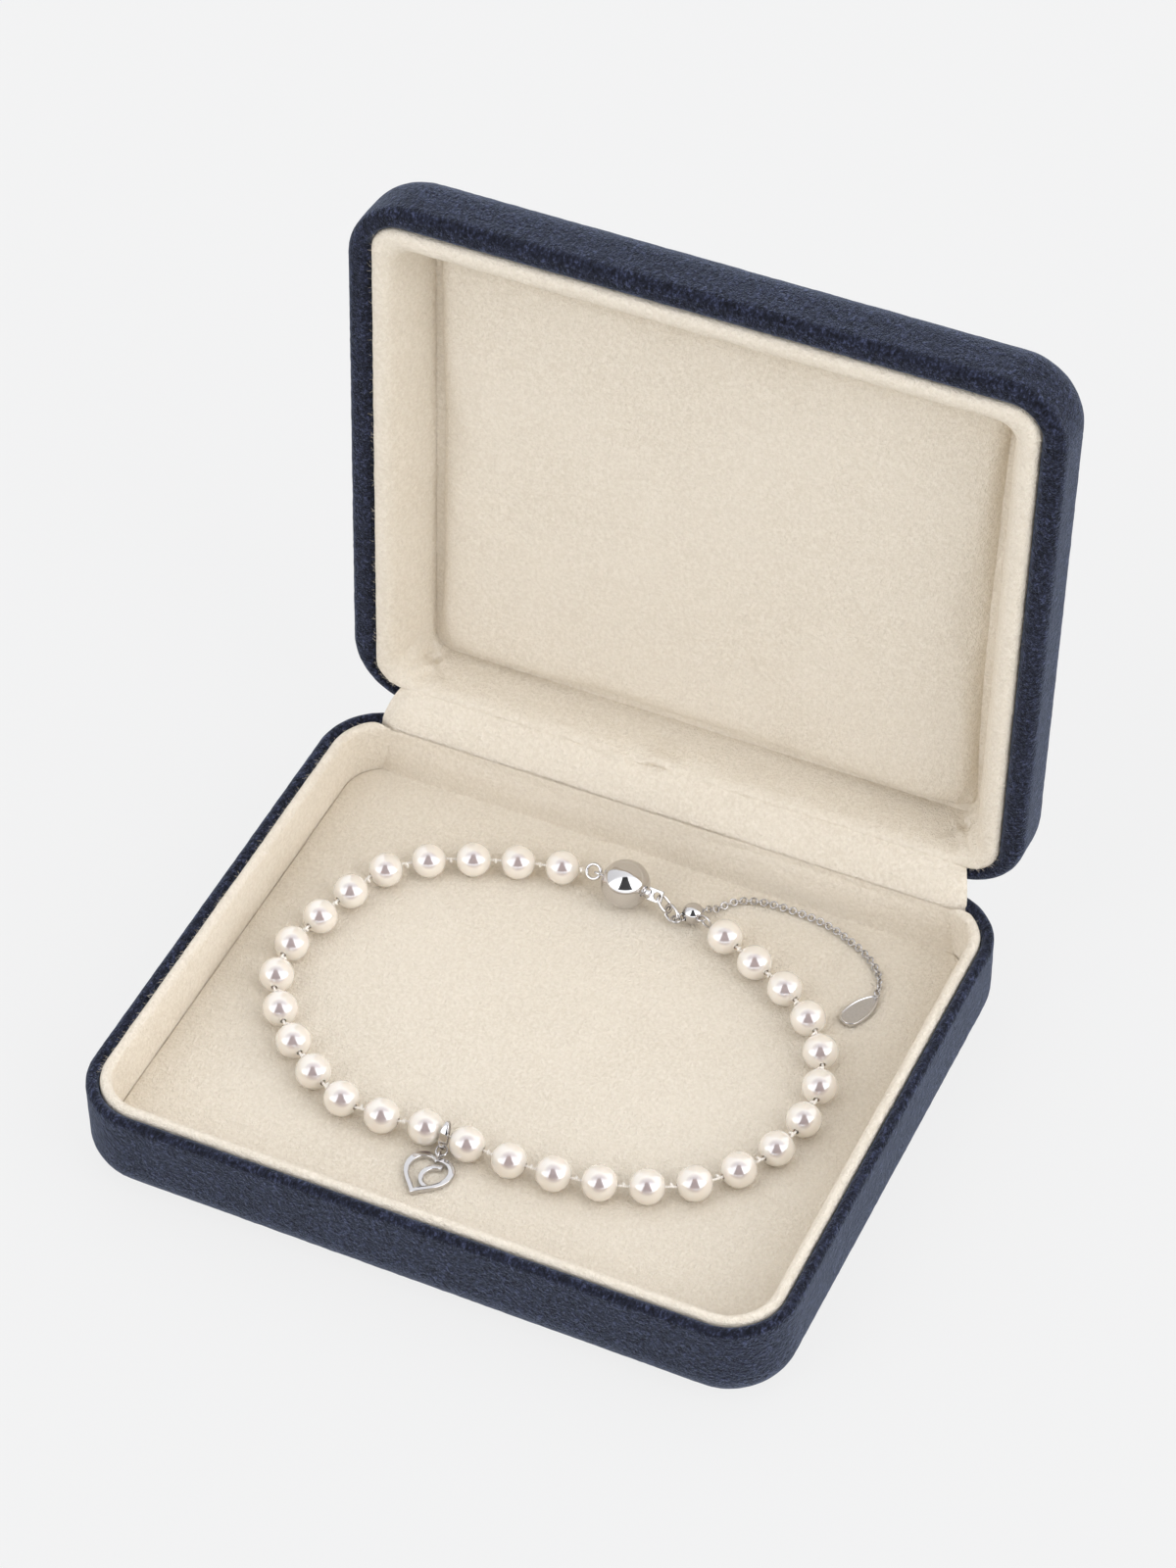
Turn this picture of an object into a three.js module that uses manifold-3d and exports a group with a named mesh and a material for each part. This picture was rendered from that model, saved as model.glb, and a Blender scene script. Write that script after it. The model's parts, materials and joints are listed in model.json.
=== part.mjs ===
// A pearl anklet lying in an open, suede-covered presentation box. Millimetres, +Z up.
// The origin is the centre of the box's underside, +X right, -Y to the box's front.
import * as THREE from 'three';
import { mergeVertices } from 'three/addons/utils/BufferGeometryUtils.js';
import Module from 'manifold-3d';

const wasm = await Module();
wasm.setup();

// ---- driving dimensions -------------------------------------------------------------
const BOX_W = 118;            // box width, along X
const BOX_D = 98.5;           // box depth, along Y
const BASE_H = 16.5;          // height of the base
const LID_H = 13.7;           // height of the lid
const PLAN_R = 11;            // corner radius of the box seen from above
const BASE_EDGE_R = 6;        // rounding between the base's sides and underside
const LID_EDGE_R = 7;         // rounding between the lid's sides and top
const BASE_WALL = 2;          // wall of the base shell
const LID_WALL = 4.1;         // padded wall of the lid shell
const LID_BACK_WALL = 3;      // lid wall on the hinge side
const LID_RIM_R = 1.2;        // soft edges of the lid's rim
const FLOOR = 2.2;            // floor of the base and roof of the lid
const RIM_GAP = 0.6;          // gap between the two rims when the box is closed
const CLEAR = 0.3;            // gap between touching pieces
const LINING_T = 1.8;         // thickness of the base lining
const PAD_TOP = 7.1;          // height of the pad that the anklet lies on
const FLAP_HALF = 51.3;       // half the width of the hinge flap
const FLAP_T = 1.1;           // thickness of the hinge flap
const RECESS = 8;             // depth of the lid cushion below the lid's rim
const OPEN_ANGLE = 93.7;      // how far the lid stands open, in degrees
const HINGE_OUT = 0.55;       // hinge axis behind the back face
const HINGE_R = 0.55;         // radius of the hinge rod
const HINGE_LENGTH = 70;
const PEARL_R = 2.85;
const HOLE_R = 0.75;          // drilled hole of a pearl
const PEARL_COUNT = 30;
const THREAD_R = 0.25;
const WIRE_R = 0.25;          // wire of the links and rings
const CLASP_R = 4;            // ball clasp
const SLIDER_R = 1.8;         // ball that slides on the chain
const CHAIN_R = 0.5;
const PLATE_T = 0.8;          // thickness of the charm and the end plate

// ---- worked out ---------------------------------------------------------------------
const HALF_W = BOX_W / 2;
const HALF_D = BOX_D / 2;
const RIM_Z = BASE_H + RIM_GAP;               // rim plane of the closed lid
const HINGE = new THREE.Vector3(0, HALF_D + HINGE_OUT, BASE_H + RIM_GAP / 2);
const REST_Z = PAD_TOP + CLEAR;               // what lies on the pad starts here
const PEARL_Z = REST_Z + PEARL_R;
const CORNER_STEPS = 6;

const materials = {
  suede: { color: 0x2a2f42, roughness: 0.95, metalness: 0 },
  lining: { color: 0xe9dec8, roughness: 0.95, metalness: 0 },
  pearl: { color: 0xf1e6df, roughness: 0.18, metalness: 0 },
  silver: { color: 0xc9c9cc, roughness: 0.15, metalness: 1 },
  silk: { color: 0xf0e8dc, roughness: 0.8, metalness: 0 },
};

function piece(name, geometry, finish) {
  const mesh = new THREE.Mesh(geometry, new THREE.MeshStandardMaterial(materials[finish]));
  mesh.name = name;
  return mesh;
}

// ---- making shapes ------------------------------------------------------------------
// A closed horizontal ring of points: the box's plan, moved in by the row's insets.
function planRing({ inset, front = inset, back = inset, radius = PLAN_R - inset, z }) {
  const x1 = HALF_W - inset - radius;
  const y0 = -HALF_D + front + radius;
  const y1 = HALF_D - back - radius;
  const corners = [[x1, y1, 0], [-x1, y1, 1], [-x1, y0, 2], [x1, y0, 3]];
  const ring = [];
  for (const [x, y, quarter] of corners) {
    for (let i = 0; i <= CORNER_STEPS; i += 1) {
      const a = (quarter + i / CORNER_STEPS) * Math.PI / 2;
      ring.push(new THREE.Vector3(x + radius * Math.cos(a), y + radius * Math.sin(a), z));
    }
  }
  return ring;
}

// Joins rings that have the same number of points. An open stack gets flat end caps.
function loft(rings, closed = false) {
  const n = rings[0].length;
  const points = rings.flat().map((p) => p.clone());
  const faces = [];
  const last = closed ? rings.length : rings.length - 1;
  for (let j = 0; j < last; j += 1) {
    const a = j * n;
    const b = ((j + 1) % rings.length) * n;
    for (let i = 0; i < n; i += 1) {
      const k = (i + 1) % n;
      faces.push(a + i, a + k, b + k, a + i, b + k, b + i);
    }
  }
  if (!closed) {
    for (const [start, flip] of [[0, true], [(rings.length - 1) * n, false]]) {
      const middle = new THREE.Vector3();
      for (let i = 0; i < n; i += 1) middle.add(points[start + i]);
      points.push(middle.divideScalar(n));
      for (let i = 0; i < n; i += 1) {
        const edge = [start + i, start + (i + 1) % n];
        if (flip) edge.reverse();
        faces.push(...edge, points.length - 1);
      }
    }
  }
  const geometry = new THREE.BufferGeometry().setFromPoints(points);
  geometry.setIndex(faces);
  return geometry;
}

// Rows of an edge rounding: inset and height run along an arc between two angles.
function arcRows(centreInset, centreZ, radius, fromDeg, toDeg, steps) {
  const rows = [];
  for (let i = 0; i <= steps; i += 1) {
    const a = THREE.MathUtils.degToRad(fromDeg + (toDeg - fromDeg) * i / steps);
    rows.push({ inset: centreInset - radius * Math.cos(a), z: centreZ + radius * Math.sin(a) });
  }
  return rows;
}

function solid(geometry) {
  const bare = geometry.clone();
  bare.deleteAttribute('normal');
  bare.deleteAttribute('uv');
  const merged = mergeVertices(bare, 1e-4);
  return new wasm.Manifold(new wasm.Mesh({
    numProp: 3,
    vertProperties: new Float32Array(merged.attributes.position.array),
    triVerts: new Uint32Array(merged.index.array),
  }));
}

// One body from soldered pieces, less what is cut from the first of them.
function fuse(first, others, cuts = []) {
  let body = solid(first);
  for (const geometry of cuts) body = body.subtract(solid(geometry));
  for (const geometry of others) body = body.add(solid(geometry));
  const mesh = body.getMesh();
  const geometry = new THREE.BufferGeometry();
  geometry.setAttribute('position', new THREE.BufferAttribute(mesh.vertProperties, 3));
  geometry.setIndex(Array.from(mesh.triVerts));
  return geometry;
}

// Moves a geometry so that its X and Y axes point along two directions at a place.
function place(geometry, at, xAxis, yAxis) {
  const x = xAxis.clone().normalize();
  const z = x.clone().cross(yAxis).normalize();
  const y = z.clone().cross(x);
  const matrix = new THREE.Matrix4().makeBasis(x, y, z).setPosition(at);
  return geometry.applyMatrix4(matrix);
}

function tube(curve, radius, sides, steps) {
  const section = new THREE.Shape();
  for (let i = 0; i < sides; i += 1) {
    const a = 2 * Math.PI * i / sides;
    if (i === 0) section.moveTo(radius, 0);
    else section.lineTo(radius * Math.cos(a), radius * Math.sin(a));
  }
  section.closePath();
  return new THREE.ExtrudeGeometry(section, { steps, extrudePath: curve, curveSegments: 1 });
}

// A wire ring in the XY plane, drawn out along X to an oval.
function wireRing(halfLength, halfWidth, wire = WIRE_R) {
  const ring = [];
  const sides = 6;
  const steps = 16;
  for (let j = 0; j < steps; j += 1) {
    const a = 2 * Math.PI * j / steps;
    const out = new THREE.Vector3(halfWidth * Math.cos(a), halfLength * Math.sin(a), 0).normalize();
    const centre = new THREE.Vector3(halfLength * Math.cos(a), halfWidth * Math.sin(a), 0);
    const loop = [];
    for (let i = 0; i < sides; i += 1) {
      const b = 2 * Math.PI * i / sides;
      const point = centre.clone().addScaledVector(out, wire * Math.cos(b));
      point.z = wire * Math.sin(b);
      loop.push(point);
    }
    ring.push(loop);
  }
  return loft(ring.reverse(), true);
}

function vec(x, y, z) {
  return new THREE.Vector3(x, y, z);
}

// ---- the box's base -----------------------------------------------------------------
const INNER_EDGE_R = BASE_EDGE_R - BASE_WALL;

function baseShell() {
  const rimR = BASE_WALL / 2;
  const innerZ = FLOOR + INNER_EDGE_R;
  const rows = [
    ...arcRows(BASE_EDGE_R, BASE_EDGE_R, BASE_EDGE_R, -90, 0, 4),
    ...arcRows(rimR, BASE_H - rimR, rimR, 0, 180, 6),
    ...arcRows(BASE_EDGE_R, innerZ, INNER_EDGE_R, 0, -90, 3),
  ];
  return loft(rows.map(planRing));
}

// The lining runs round three sides and both back corners, and stops at the flap.
function baseLining() {
  const outer = BASE_WALL + CLEAR;
  const half = LINING_T / 2;
  const middle = outer + half;
  const radius = PLAN_R - middle;
  const low = FLOOR + INNER_EDGE_R + CLEAR;
  const high = BASE_H + RIM_GAP / 3 - half;
  const profile = [[-half, low], [-half, high]];
  for (const deg of [135, 90, 45]) {
    const a = THREE.MathUtils.degToRad(deg);
    profile.push([half * Math.cos(a), high + half * Math.sin(a)]);
  }
  profile.push([half, high], [half, low]);
  const cornerX = HALF_W - middle - radius;
  const cornerY = HALF_D - middle - radius;
  const turns = [
    { x: cornerX, y: cornerY, from: 61, to: 0 },
    { x: cornerX, y: -cornerY, from: 0, to: -90 },
    { x: -cornerX, y: -cornerY, from: -90, to: -180 },
    { x: -cornerX, y: cornerY, from: -180, to: -241 },
  ];
  const stations = [];
  for (const { x, y, from, to } of turns) {
    for (let i = 0; i <= CORNER_STEPS; i += 1) {
      const a = THREE.MathUtils.degToRad(from + (to - from) * i / CORNER_STEPS);
      stations.push(profile.map(([out, z]) => (
        vec(x + (radius + out) * Math.cos(a), y + (radius + out) * Math.sin(a), z))));
    }
  }
  return loft(stations.reverse());
}

function basePad() {
  const side = BASE_WALL + LINING_T + 2 * CLEAR;
  const under = FLOOR + CLEAR;
  const rows = [
    { inset: side + 1.8, z: under },
    { inset: side, z: under + 1.7 },
    { inset: side, z: PAD_TOP - 0.7 },
    { inset: side + 0.2, z: PAD_TOP - 0.2 },
    { inset: side + 0.7, z: PAD_TOP },
  ];
  return loft(rows.map(planRing));
}

const FLAP_FRONT = HALF_D - BASE_WALL - LINING_T - 2 * CLEAR + CLEAR;

function hingeFlap() {
  const low = PAD_TOP - 0.5;
  const high = BASE_H - 0.2;
  const flap = new THREE.BoxGeometry(2 * FLAP_HALF, FLAP_T, high - low);
  return flap.translate(0, FLAP_FRONT + FLAP_T / 2, (low + high) / 2);
}

function hingeRod() {
  const rod = new THREE.CylinderGeometry(HINGE_R, HINGE_R, HINGE_LENGTH, 10);
  return rod.rotateZ(Math.PI / 2).translate(HINGE.x, HINGE.y, HINGE.z);
}

// ---- the box's lid, drawn closed ------------------------------------------------------
function lidShell() {
  const top = RIM_Z + LID_H;
  const wall = LID_WALL - LID_RIM_R;
  const backCut = LID_WALL - LID_BACK_WALL;
  const inner = [
    ...arcRows(wall, RIM_Z + LID_RIM_R, LID_RIM_R, -90, -180, 2),
    { inset: LID_WALL, z: top - FLOOR },
  ];
  const rows = [
    ...arcRows(LID_EDGE_R, top - LID_EDGE_R, LID_EDGE_R, 90, 0, 5),
    ...arcRows(LID_RIM_R, RIM_Z + LID_RIM_R, LID_RIM_R, 0, -90, 2),
    ...inner.map((row) => ({ ...row, back: row.inset - backCut })),
  ];
  return loft(rows.map(planRing).map((ring) => ring.reverse()));
}

// A padded lining: a rolled lip at the rim, then walls that lean in to the cushion.
function lidLining() {
  const section = [
    { side: 4.4, back: 3.3, depth: 1.4 },
    { side: 4.9, back: 3.5, depth: 0.2 },
    { side: 6.1, back: 4.2, depth: -0.2 },
    { side: 7.3, back: 4.9, depth: 0.3 },
    { side: 7.9, back: 5.2, depth: 1.6 },
    { side: 9.3, back: 5.3, depth: 5.0 },
    { side: 10.6, back: 5.3, depth: RECESS + 0.6 },
    { side: 4.4, back: 3.3, depth: RECESS + 0.6 },
  ];
  const rings = section.map(({ side, back, depth }) => planRing({
    inset: side, back, radius: Math.max(PLAN_R - side, 4), z: RIM_Z + depth,
  }));
  return loft(rings.reverse(), true);
}

function lidCushion() {
  const side = 10.6 + CLEAR;
  const back = 5.3 + CLEAR;
  const face = RIM_Z + RECESS;
  const rows = [
    { grow: 0.8, z: face },
    { grow: 0.2, z: face + 0.3 },
    { grow: 0, z: face + 0.9 },
    { grow: 0, z: RIM_Z + LID_H - FLOOR - CLEAR },
  ];
  return loft(rows.map(({ grow, z }) => (
    planRing({ inset: side + grow, back: back + grow, radius: 4, z }))));
}

// ---- the strand of pearls -------------------------------------------------------------
// The line of the strand on the pad, from the clasp round the front and back again.
const strandPoints = [
  [-12.7, 33.2], [-25.8, 29.2], [-37.6, 22], [-43, 9], [-44.6, -5], [-36, -17.5],
  [-22, -26.2], [-8, -25.9], [7, -26.6], [21.5, -24.8], [34.5, -18.6], [42.8, -6.5],
  [43.2, 8], [35.5, 20], [17.4, 29.9],
];
const strandLine = new THREE.CatmullRomCurve3(
  strandPoints.map(([x, y]) => vec(x, y, PEARL_Z)), false, 'centripetal');
strandLine.arcLengthDivisions = 600;

function pearl() {
  const open = Math.asin(HOLE_R / PEARL_R);
  const profile = [];
  const steps = 8;
  for (let i = 0; i <= steps; i += 1) {
    const a = open + (Math.PI - 2 * open) * i / steps;
    profile.push(new THREE.Vector2(PEARL_R * Math.sin(a), -PEARL_R * Math.cos(a)));
  }
  profile.push(profile[0].clone());
  return new THREE.LatheGeometry(profile, 10);
}

function pearls() {
  const group = new THREE.Group();
  for (let i = 0; i < PEARL_COUNT; i += 1) {
    const u = i / (PEARL_COUNT - 1);
    const bead = piece(`pearl_${String(i + 1).padStart(2, '0')}`, pearl(), 'pearl');
    bead.position.copy(strandLine.getPointAt(u));
    bead.quaternion.setFromUnitVectors(vec(0, 1, 0), strandLine.getTangentAt(u));
    group.add(bead);
  }
  return group;
}

// ---- the clasp and its links ------------------------------------------------------------
const CLASP_AT = vec(-1.4, 33, REST_Z + CLASP_R);
const CLASP_AXIS = vec(1, -0.07, 0).normalize();
const UP = vec(0, 0, 1);
const FACING = vec(0.07, 1, 0).normalize();     // level, across the clasp's axis
const EYE_R = 0.8;
const EYE_OUT = 0.65;                           // an eye's centre outside its ball
const RING_LEAN = vec(0, 0.7, 0.7);             // the strand ring leans back

function alongClasp(distance) {
  return CLASP_AT.clone().addScaledVector(CLASP_AXIS, distance);
}

function claspBall() {
  const ball = new THREE.SphereGeometry(CLASP_R, 20, 14).translate(...CLASP_AT);
  const across = CLASP_AXIS.clone().cross(RING_LEAN);
  const eye = place(wireRing(EYE_R, EYE_R), alongClasp(-CLASP_R - EYE_OUT), CLASP_AXIS, across);
  return fuse(ball, [eye]);
}

const STRAND_RING_R = 1.2;
const STRAND_RING_AT = alongClasp(-CLASP_R - EYE_OUT - STRAND_RING_R);

function strandRing() {
  const ring = wireRing(STRAND_RING_R, STRAND_RING_R);
  return place(ring, STRAND_RING_AT, CLASP_AXIS, RING_LEAN);
}

const TONGUE = { length: 2.6, width: 2.2, thickness: 0.6, hole: 0.6 };
const TONGUE_HOLE_AT = alongClasp(CLASP_R + CLEAR + 1.8);

function claspTongue() {
  const { length, width, thickness, hole } = TONGUE;
  const middle = CLASP_R + CLEAR + length / 2;
  const outline = new THREE.Shape();
  outline.moveTo(-length / 2, -width / 2);
  outline.lineTo(length / 2 - 0.4, -width / 2);
  outline.lineTo(length / 2, -width / 2 + 0.4);
  outline.lineTo(length / 2, width / 2 - 0.4);
  outline.lineTo(length / 2 - 0.4, width / 2);
  outline.lineTo(-length / 2, width / 2);
  outline.closePath();
  const opening = new THREE.Path().absarc(1.8 - length / 2, 0, hole, 0, 2 * Math.PI, true);
  outline.holes.push(opening);
  const plate = new THREE.ExtrudeGeometry(outline, {
    depth: thickness, bevelEnabled: false, curveSegments: 10,
  });
  plate.translate(0, 0, -thickness / 2);
  return place(plate, alongClasp(middle), CLASP_AXIS, UP);
}

// The link hangs from the tongue to the joint, and the ring goes on to the chain's end.
const JOINT_AT = TONGUE_HOLE_AT.clone().add(vec(1.7, -0.2, -1.9));
const SLIDER_AT = vec(10.3, 33.4, REST_Z + SLIDER_R);
const SLIDER_AXIS = vec(0.65, 0.76, 0).normalize();    // the chain runs through along this
const CHAIN_RING_R = 0.7;
const CHAIN_LEAD = SLIDER_R + 0.5;               // the chain's first link before the slider
const CHAIN_START = SLIDER_AT.clone().addScaledVector(SLIDER_AXIS, -CHAIN_LEAD - CHAIN_RING_R);
const HOOK = 0.42;                              // how far one hooked wire reaches past the other

function tongueLink() {
  const along = JOINT_AT.clone().sub(TONGUE_HOLE_AT);
  const length = along.length() + HOOK;
  const centre = TONGUE_HOLE_AT.clone().addScaledVector(along.clone().normalize(), length / 2);
  return place(wireRing(length / 2, 1), centre, along, FACING);
}

function claspRing() {
  const along = CHAIN_START.clone().sub(JOINT_AT);
  const length = along.length() + HOOK;
  const centre = CHAIN_START.clone().addScaledVector(along.clone().normalize(), -length / 2);
  return place(wireRing(length / 2, 1.15), centre, along, vec(0.4, 0.3, 0.86));
}

// ---- the adjuster: a ball that slides on a fine chain -------------------------------------
const SLIDER_HOLE_R = 0.8;
const CHAIN_Z = REST_Z + CHAIN_R;
const chainPoints = [
  [12.9, 37], [14.4, 39.2], [16.6, 40.7], [20, 41.6], [25, 41.7], [30, 41.2], [34.6, 39.6], [38.6, 37.6],
  [41.6, 35], [43, 32.6], [43.4, 30.6],
];

function adjusterChain() {
  const half = SLIDER_R + 0.1;
  const route = [
    SLIDER_AT.clone().addScaledVector(SLIDER_AXIS, -CHAIN_LEAD),
    SLIDER_AT.clone().addScaledVector(SLIDER_AXIS, -half),
    SLIDER_AT.clone().addScaledVector(SLIDER_AXIS, half),
  ];
  for (const [x, y] of chainPoints) route.push(vec(x, y, CHAIN_Z));
  const line = new THREE.CatmullRomCurve3(route, false, 'centripetal');
  const links = tube(line, CHAIN_R, 8, 44);
  const ring = place(wireRing(CHAIN_RING_R, CHAIN_RING_R, 0.22), CHAIN_START, SLIDER_AXIS, FACING);
  return fuse(links, [ring]);
}

const LOOP_WIRE_R = 0.2;
const THREAD_TAIL = 0.25;                       // thread that shows past the last pearl
const LOOP_END = strandLine.getPointAt(1).addScaledVector(
  strandLine.getTangentAt(1), PEARL_R + THREAD_TAIL + CLEAR + LOOP_WIRE_R);

function sliderBall() {
  const open = Math.asin(SLIDER_HOLE_R / SLIDER_R);
  const profile = [];
  const steps = 8;
  for (let i = 0; i <= steps; i += 1) {
    const a = open + (Math.PI - 2 * open) * i / steps;
    profile.push(new THREE.Vector2(SLIDER_R * Math.sin(a), -SLIDER_R * Math.cos(a)));
  }
  profile.push(profile[0].clone());
  const ball = new THREE.LatheGeometry(profile, 16).rotateZ(-Math.PI / 2);
  place(ball, SLIDER_AT, SLIDER_AXIS, UP);
  const out = LOOP_END.clone().sub(SLIDER_AT).normalize();
  const eyeAt = SLIDER_AT.clone().addScaledVector(out, SLIDER_R + 0.35);
  const eye = place(wireRing(0.65, 0.65, LOOP_WIRE_R), eyeAt, out, SLIDER_AXIS);
  return fuse(ball, [eye]);
}

function sliderLoop() {
  const out = LOOP_END.clone().sub(SLIDER_AT).normalize();
  const start = SLIDER_AT.clone().addScaledVector(out, SLIDER_R + 0.38);
  const length = LOOP_END.distanceTo(start);
  const centre = start.clone().add(LOOP_END).divideScalar(2);
  return place(wireRing(length / 2, 0.95, LOOP_WIRE_R), centre, out, UP);
}

const PLATE_TIP = vec(43.7, 29.9, REST_Z);
const PLATE_END = vec(40.9, 22.6, REST_Z);

function endPlate() {
  const along = PLATE_END.clone().sub(PLATE_TIP);
  const length = along.length();
  const half = 1.85;
  const outline = new THREE.Shape();
  outline.moveTo(0, 0.35);
  outline.quadraticCurveTo(length * 0.4, half, length - half, half);
  outline.absarc(length - half, 0, half, Math.PI / 2, -Math.PI / 2, true);
  outline.quadraticCurveTo(length * 0.4, -half, 0, -0.35);
  outline.closePath();
  const plate = new THREE.ExtrudeGeometry(outline, {
    depth: PLATE_T, bevelEnabled: false, curveSegments: 8,
  });
  return place(plate, PLATE_TIP, along, vec(-along.y, along.x, 0));
}

// A round thread through stations that lie level or nearly so.
function threadThrough(points, radius, sides) {
  const rings = points.map((point, i) => {
    const before = points[Math.max(i - 1, 0)];
    const after = points[Math.min(i + 1, points.length - 1)];
    const side = after.clone().sub(before).normalize().cross(UP).normalize();
    return Array.from({ length: sides }, (_, k) => {
      const a = 2 * Math.PI * k / sides;
      return point.clone().addScaledVector(side, radius * Math.cos(a))
        .addScaledVector(UP, radius * Math.sin(a));
    });
  });
  return loft(rings.reverse());
}

// The thread runs straight through each pearl, so it has a station at both of its faces.
function thread() {
  const first = strandLine.getPointAt(0);
  const toRing = STRAND_RING_AT.clone().sub(first).normalize();
  const ringReach = STRAND_RING_R + WIRE_R + THREAD_R + CLEAR;
  const stations = [STRAND_RING_AT.clone().addScaledVector(toRing, -ringReach)];
  for (let i = 0; i < PEARL_COUNT; i += 1) {
    const centre = strandLine.getPointAt(i / (PEARL_COUNT - 1));
    const along = strandLine.getTangentAt(i / (PEARL_COUNT - 1));
    stations.push(centre.clone().addScaledVector(along, -PEARL_R));
    stations.push(centre.clone().addScaledVector(along, PEARL_R));
  }
  stations.at(-1).addScaledVector(strandLine.getTangentAt(1), THREAD_TAIL);
  return threadThrough(stations, THREAD_R, 8);
}

// ---- the charm ------------------------------------------------------------------------
const BAIL_ON = 14.5;                     // the bail hangs after this many pearl steps
const BAIL = { halfLength: 2.35, halfWidth: 1.05, thickness: 0.35, narrow: 0.5, wide: 1.4 };
const BAIL_LEAN = vec(0, -0.45, -1).normalize();    // down and forward
const BAIL_FRONT = vec(0, -1, 0.45).normalize();
const BAIL_AT = strandLine.getPointAt(BAIL_ON / (PEARL_COUNT - 1)).add(vec(0, -0.25, 0.2));

function bailPoint(angle) {
  return BAIL_AT.clone().addScaledVector(BAIL_LEAN, BAIL.halfLength * Math.cos(angle))
    .addScaledVector(BAIL_FRONT, BAIL.halfWidth * Math.sin(angle));
}

// A closed band round the thread, widest at the middle of its front.
function bail() {
  const { halfLength, halfWidth, thickness, narrow, wide } = BAIL;
  const steps = 18;
  const rings = [];
  for (let j = 0; j < steps; j += 1) {
    const a = 2 * Math.PI * j / steps;
    const width = narrow + (wide - narrow) * Math.max(0, Math.sin(a)) ** 3;
    const out = BAIL_LEAN.clone().multiplyScalar(halfWidth * Math.cos(a))
      .addScaledVector(BAIL_FRONT, halfLength * Math.sin(a)).normalize();
    rings.push([[1, 1], [-1, 1], [-1, -1], [1, -1]].map(([side, face]) => (
      bailPoint(a).addScaledVector(out, side * thickness / 2)
        .add(vec(face * width / 2, 0, 0)))));
  }
  return loft(rings, true);
}

// The ring hooks the bail low on its front, and the charm's eye hooks the ring's far side.
const CHARM_RING = { radius: 0.9, wire: 0.18, along: vec(0, -0.97, -0.22).normalize() };
const CHARM_EYE = { radius: 0.62, wire: 0.18 };
const HOOKED_AT = bailPoint(THREE.MathUtils.degToRad(25));
const CHARM_RING_AT = HOOKED_AT.clone().addScaledVector(CHARM_RING.along, 0.3);
const CHARM_EYE_AT = CHARM_RING_AT.clone()
  .addScaledVector(CHARM_RING.along, CHARM_RING.radius);
const CHARM_TURN = -0.12;                 // the charm lies a little askew

function charmRing() {
  const { radius, wire, along } = CHARM_RING;
  return place(wireRing(radius, radius, wire), CHARM_RING_AT, along, vec(1, 0, 0));
}

// The outline of a heart, its notch near the origin and its point down -Y.
function heart(scale, drop = 0) {
  const path = new THREE.Path();
  path.moveTo(0, -scale * 0.6);
  for (const side of [1, -1]) {
    const curves = [
      [0.5, 0.6, 4.1, 0.4, 4, -3],
      [3.9, -5.6, 1.2, -6.8, 0, -8.4],
    ];
    if (side < 0) {
      curves[0] = [1.2, -6.8, 3.9, -5.6, 4, -3];
      curves[1] = [4.1, 0.4, 0.5, 0.6, 0, -0.6];
    }
    for (const [ax, ay, bx, by, x, y] of curves) {
      path.bezierCurveTo(side * scale * ax, scale * ay, side * scale * bx, scale * by,
        side * scale * x, scale * y);
    }
  }
  return path.getPoints(9).slice(0, -1).map((p) => new THREE.Vector2(p.x, p.y - drop));
}

// An open heart with a curl across it and an eye standing at its notch.
function charm() {
  const flat = { depth: PLATE_T, bevelEnabled: false, curveSegments: 9 };
  const plate = new THREE.ExtrudeGeometry(new THREE.Shape(heart(1)), flat);
  const window = new THREE.ExtrudeGeometry(new THREE.Shape(heart(0.76, 0.9)), {
    ...flat, depth: 3 * PLATE_T,
  });
  window.translate(0, 0, -PLATE_T);
  const curl = new THREE.Shape();
  curl.absarc(1.7, -3.9, 2.6, 1.9, 4.45, false);
  curl.absarc(1.7, -3.9, 1.8, 4.45, 1.9, true);
  curl.closePath();
  const band = new THREE.ExtrudeGeometry(curl, flat);
  const notch = CHARM_EYE_AT.clone().setZ(REST_Z);
  notch.y += 0.1;
  const body = [plate, band, window].map((geometry) => (
    geometry.rotateZ(CHARM_TURN).translate(...notch)));
  const { radius, wire } = CHARM_EYE;
  const eye = place(wireRing(radius, radius, wire), CHARM_EYE_AT, vec(0, -1, 0), UP);
  return fuse(body[0], [body[1], eye], [body[2]]);
}

// ---- the whole ------------------------------------------------------------------------
const lid = new THREE.Group();
lid.position.copy(HINGE);
lid.rotation.x = -THREE.MathUtils.degToRad(OPEN_ANGLE);
for (const [name, geometry, finish] of [
  ['lid_shell', lidShell(), 'suede'],
  ['lid_lining', lidLining(), 'lining'],
  ['lid_cushion', lidCushion(), 'lining'],
]) {
  const mesh = piece(name, geometry, finish);
  mesh.position.copy(HINGE).negate();
  lid.add(mesh);
}

const model = new THREE.Group();
model.add(lid, pearls());
model.add(
  piece('base_shell', baseShell(), 'suede'),
  piece('base_lining', baseLining(), 'lining'),
  piece('base_pad', basePad(), 'lining'),
  piece('hinge_flap', hingeFlap(), 'lining'),
  piece('hinge_rod', hingeRod(), 'silver'),
  piece('thread', thread(), 'silk'),
  piece('strand_ring', strandRing(), 'silver'),
  piece('clasp_ball', claspBall(), 'silver'),
  piece('clasp_tongue', claspTongue(), 'silver'),
  piece('tongue_link', tongueLink(), 'silver'),
  piece('clasp_ring', claspRing(), 'silver'),
  piece('adjuster_chain', adjusterChain(), 'silver'),
  piece('slider_ball', sliderBall(), 'silver'),
  piece('slider_loop', sliderLoop(), 'silver'),
  piece('end_plate', endPlate(), 'silver'),
  piece('bail', bail(), 'silver'),
  piece('charm_ring', charmRing(), 'silver'),
  piece('charm', charm(), 'silver'),
);

export default model;
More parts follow.
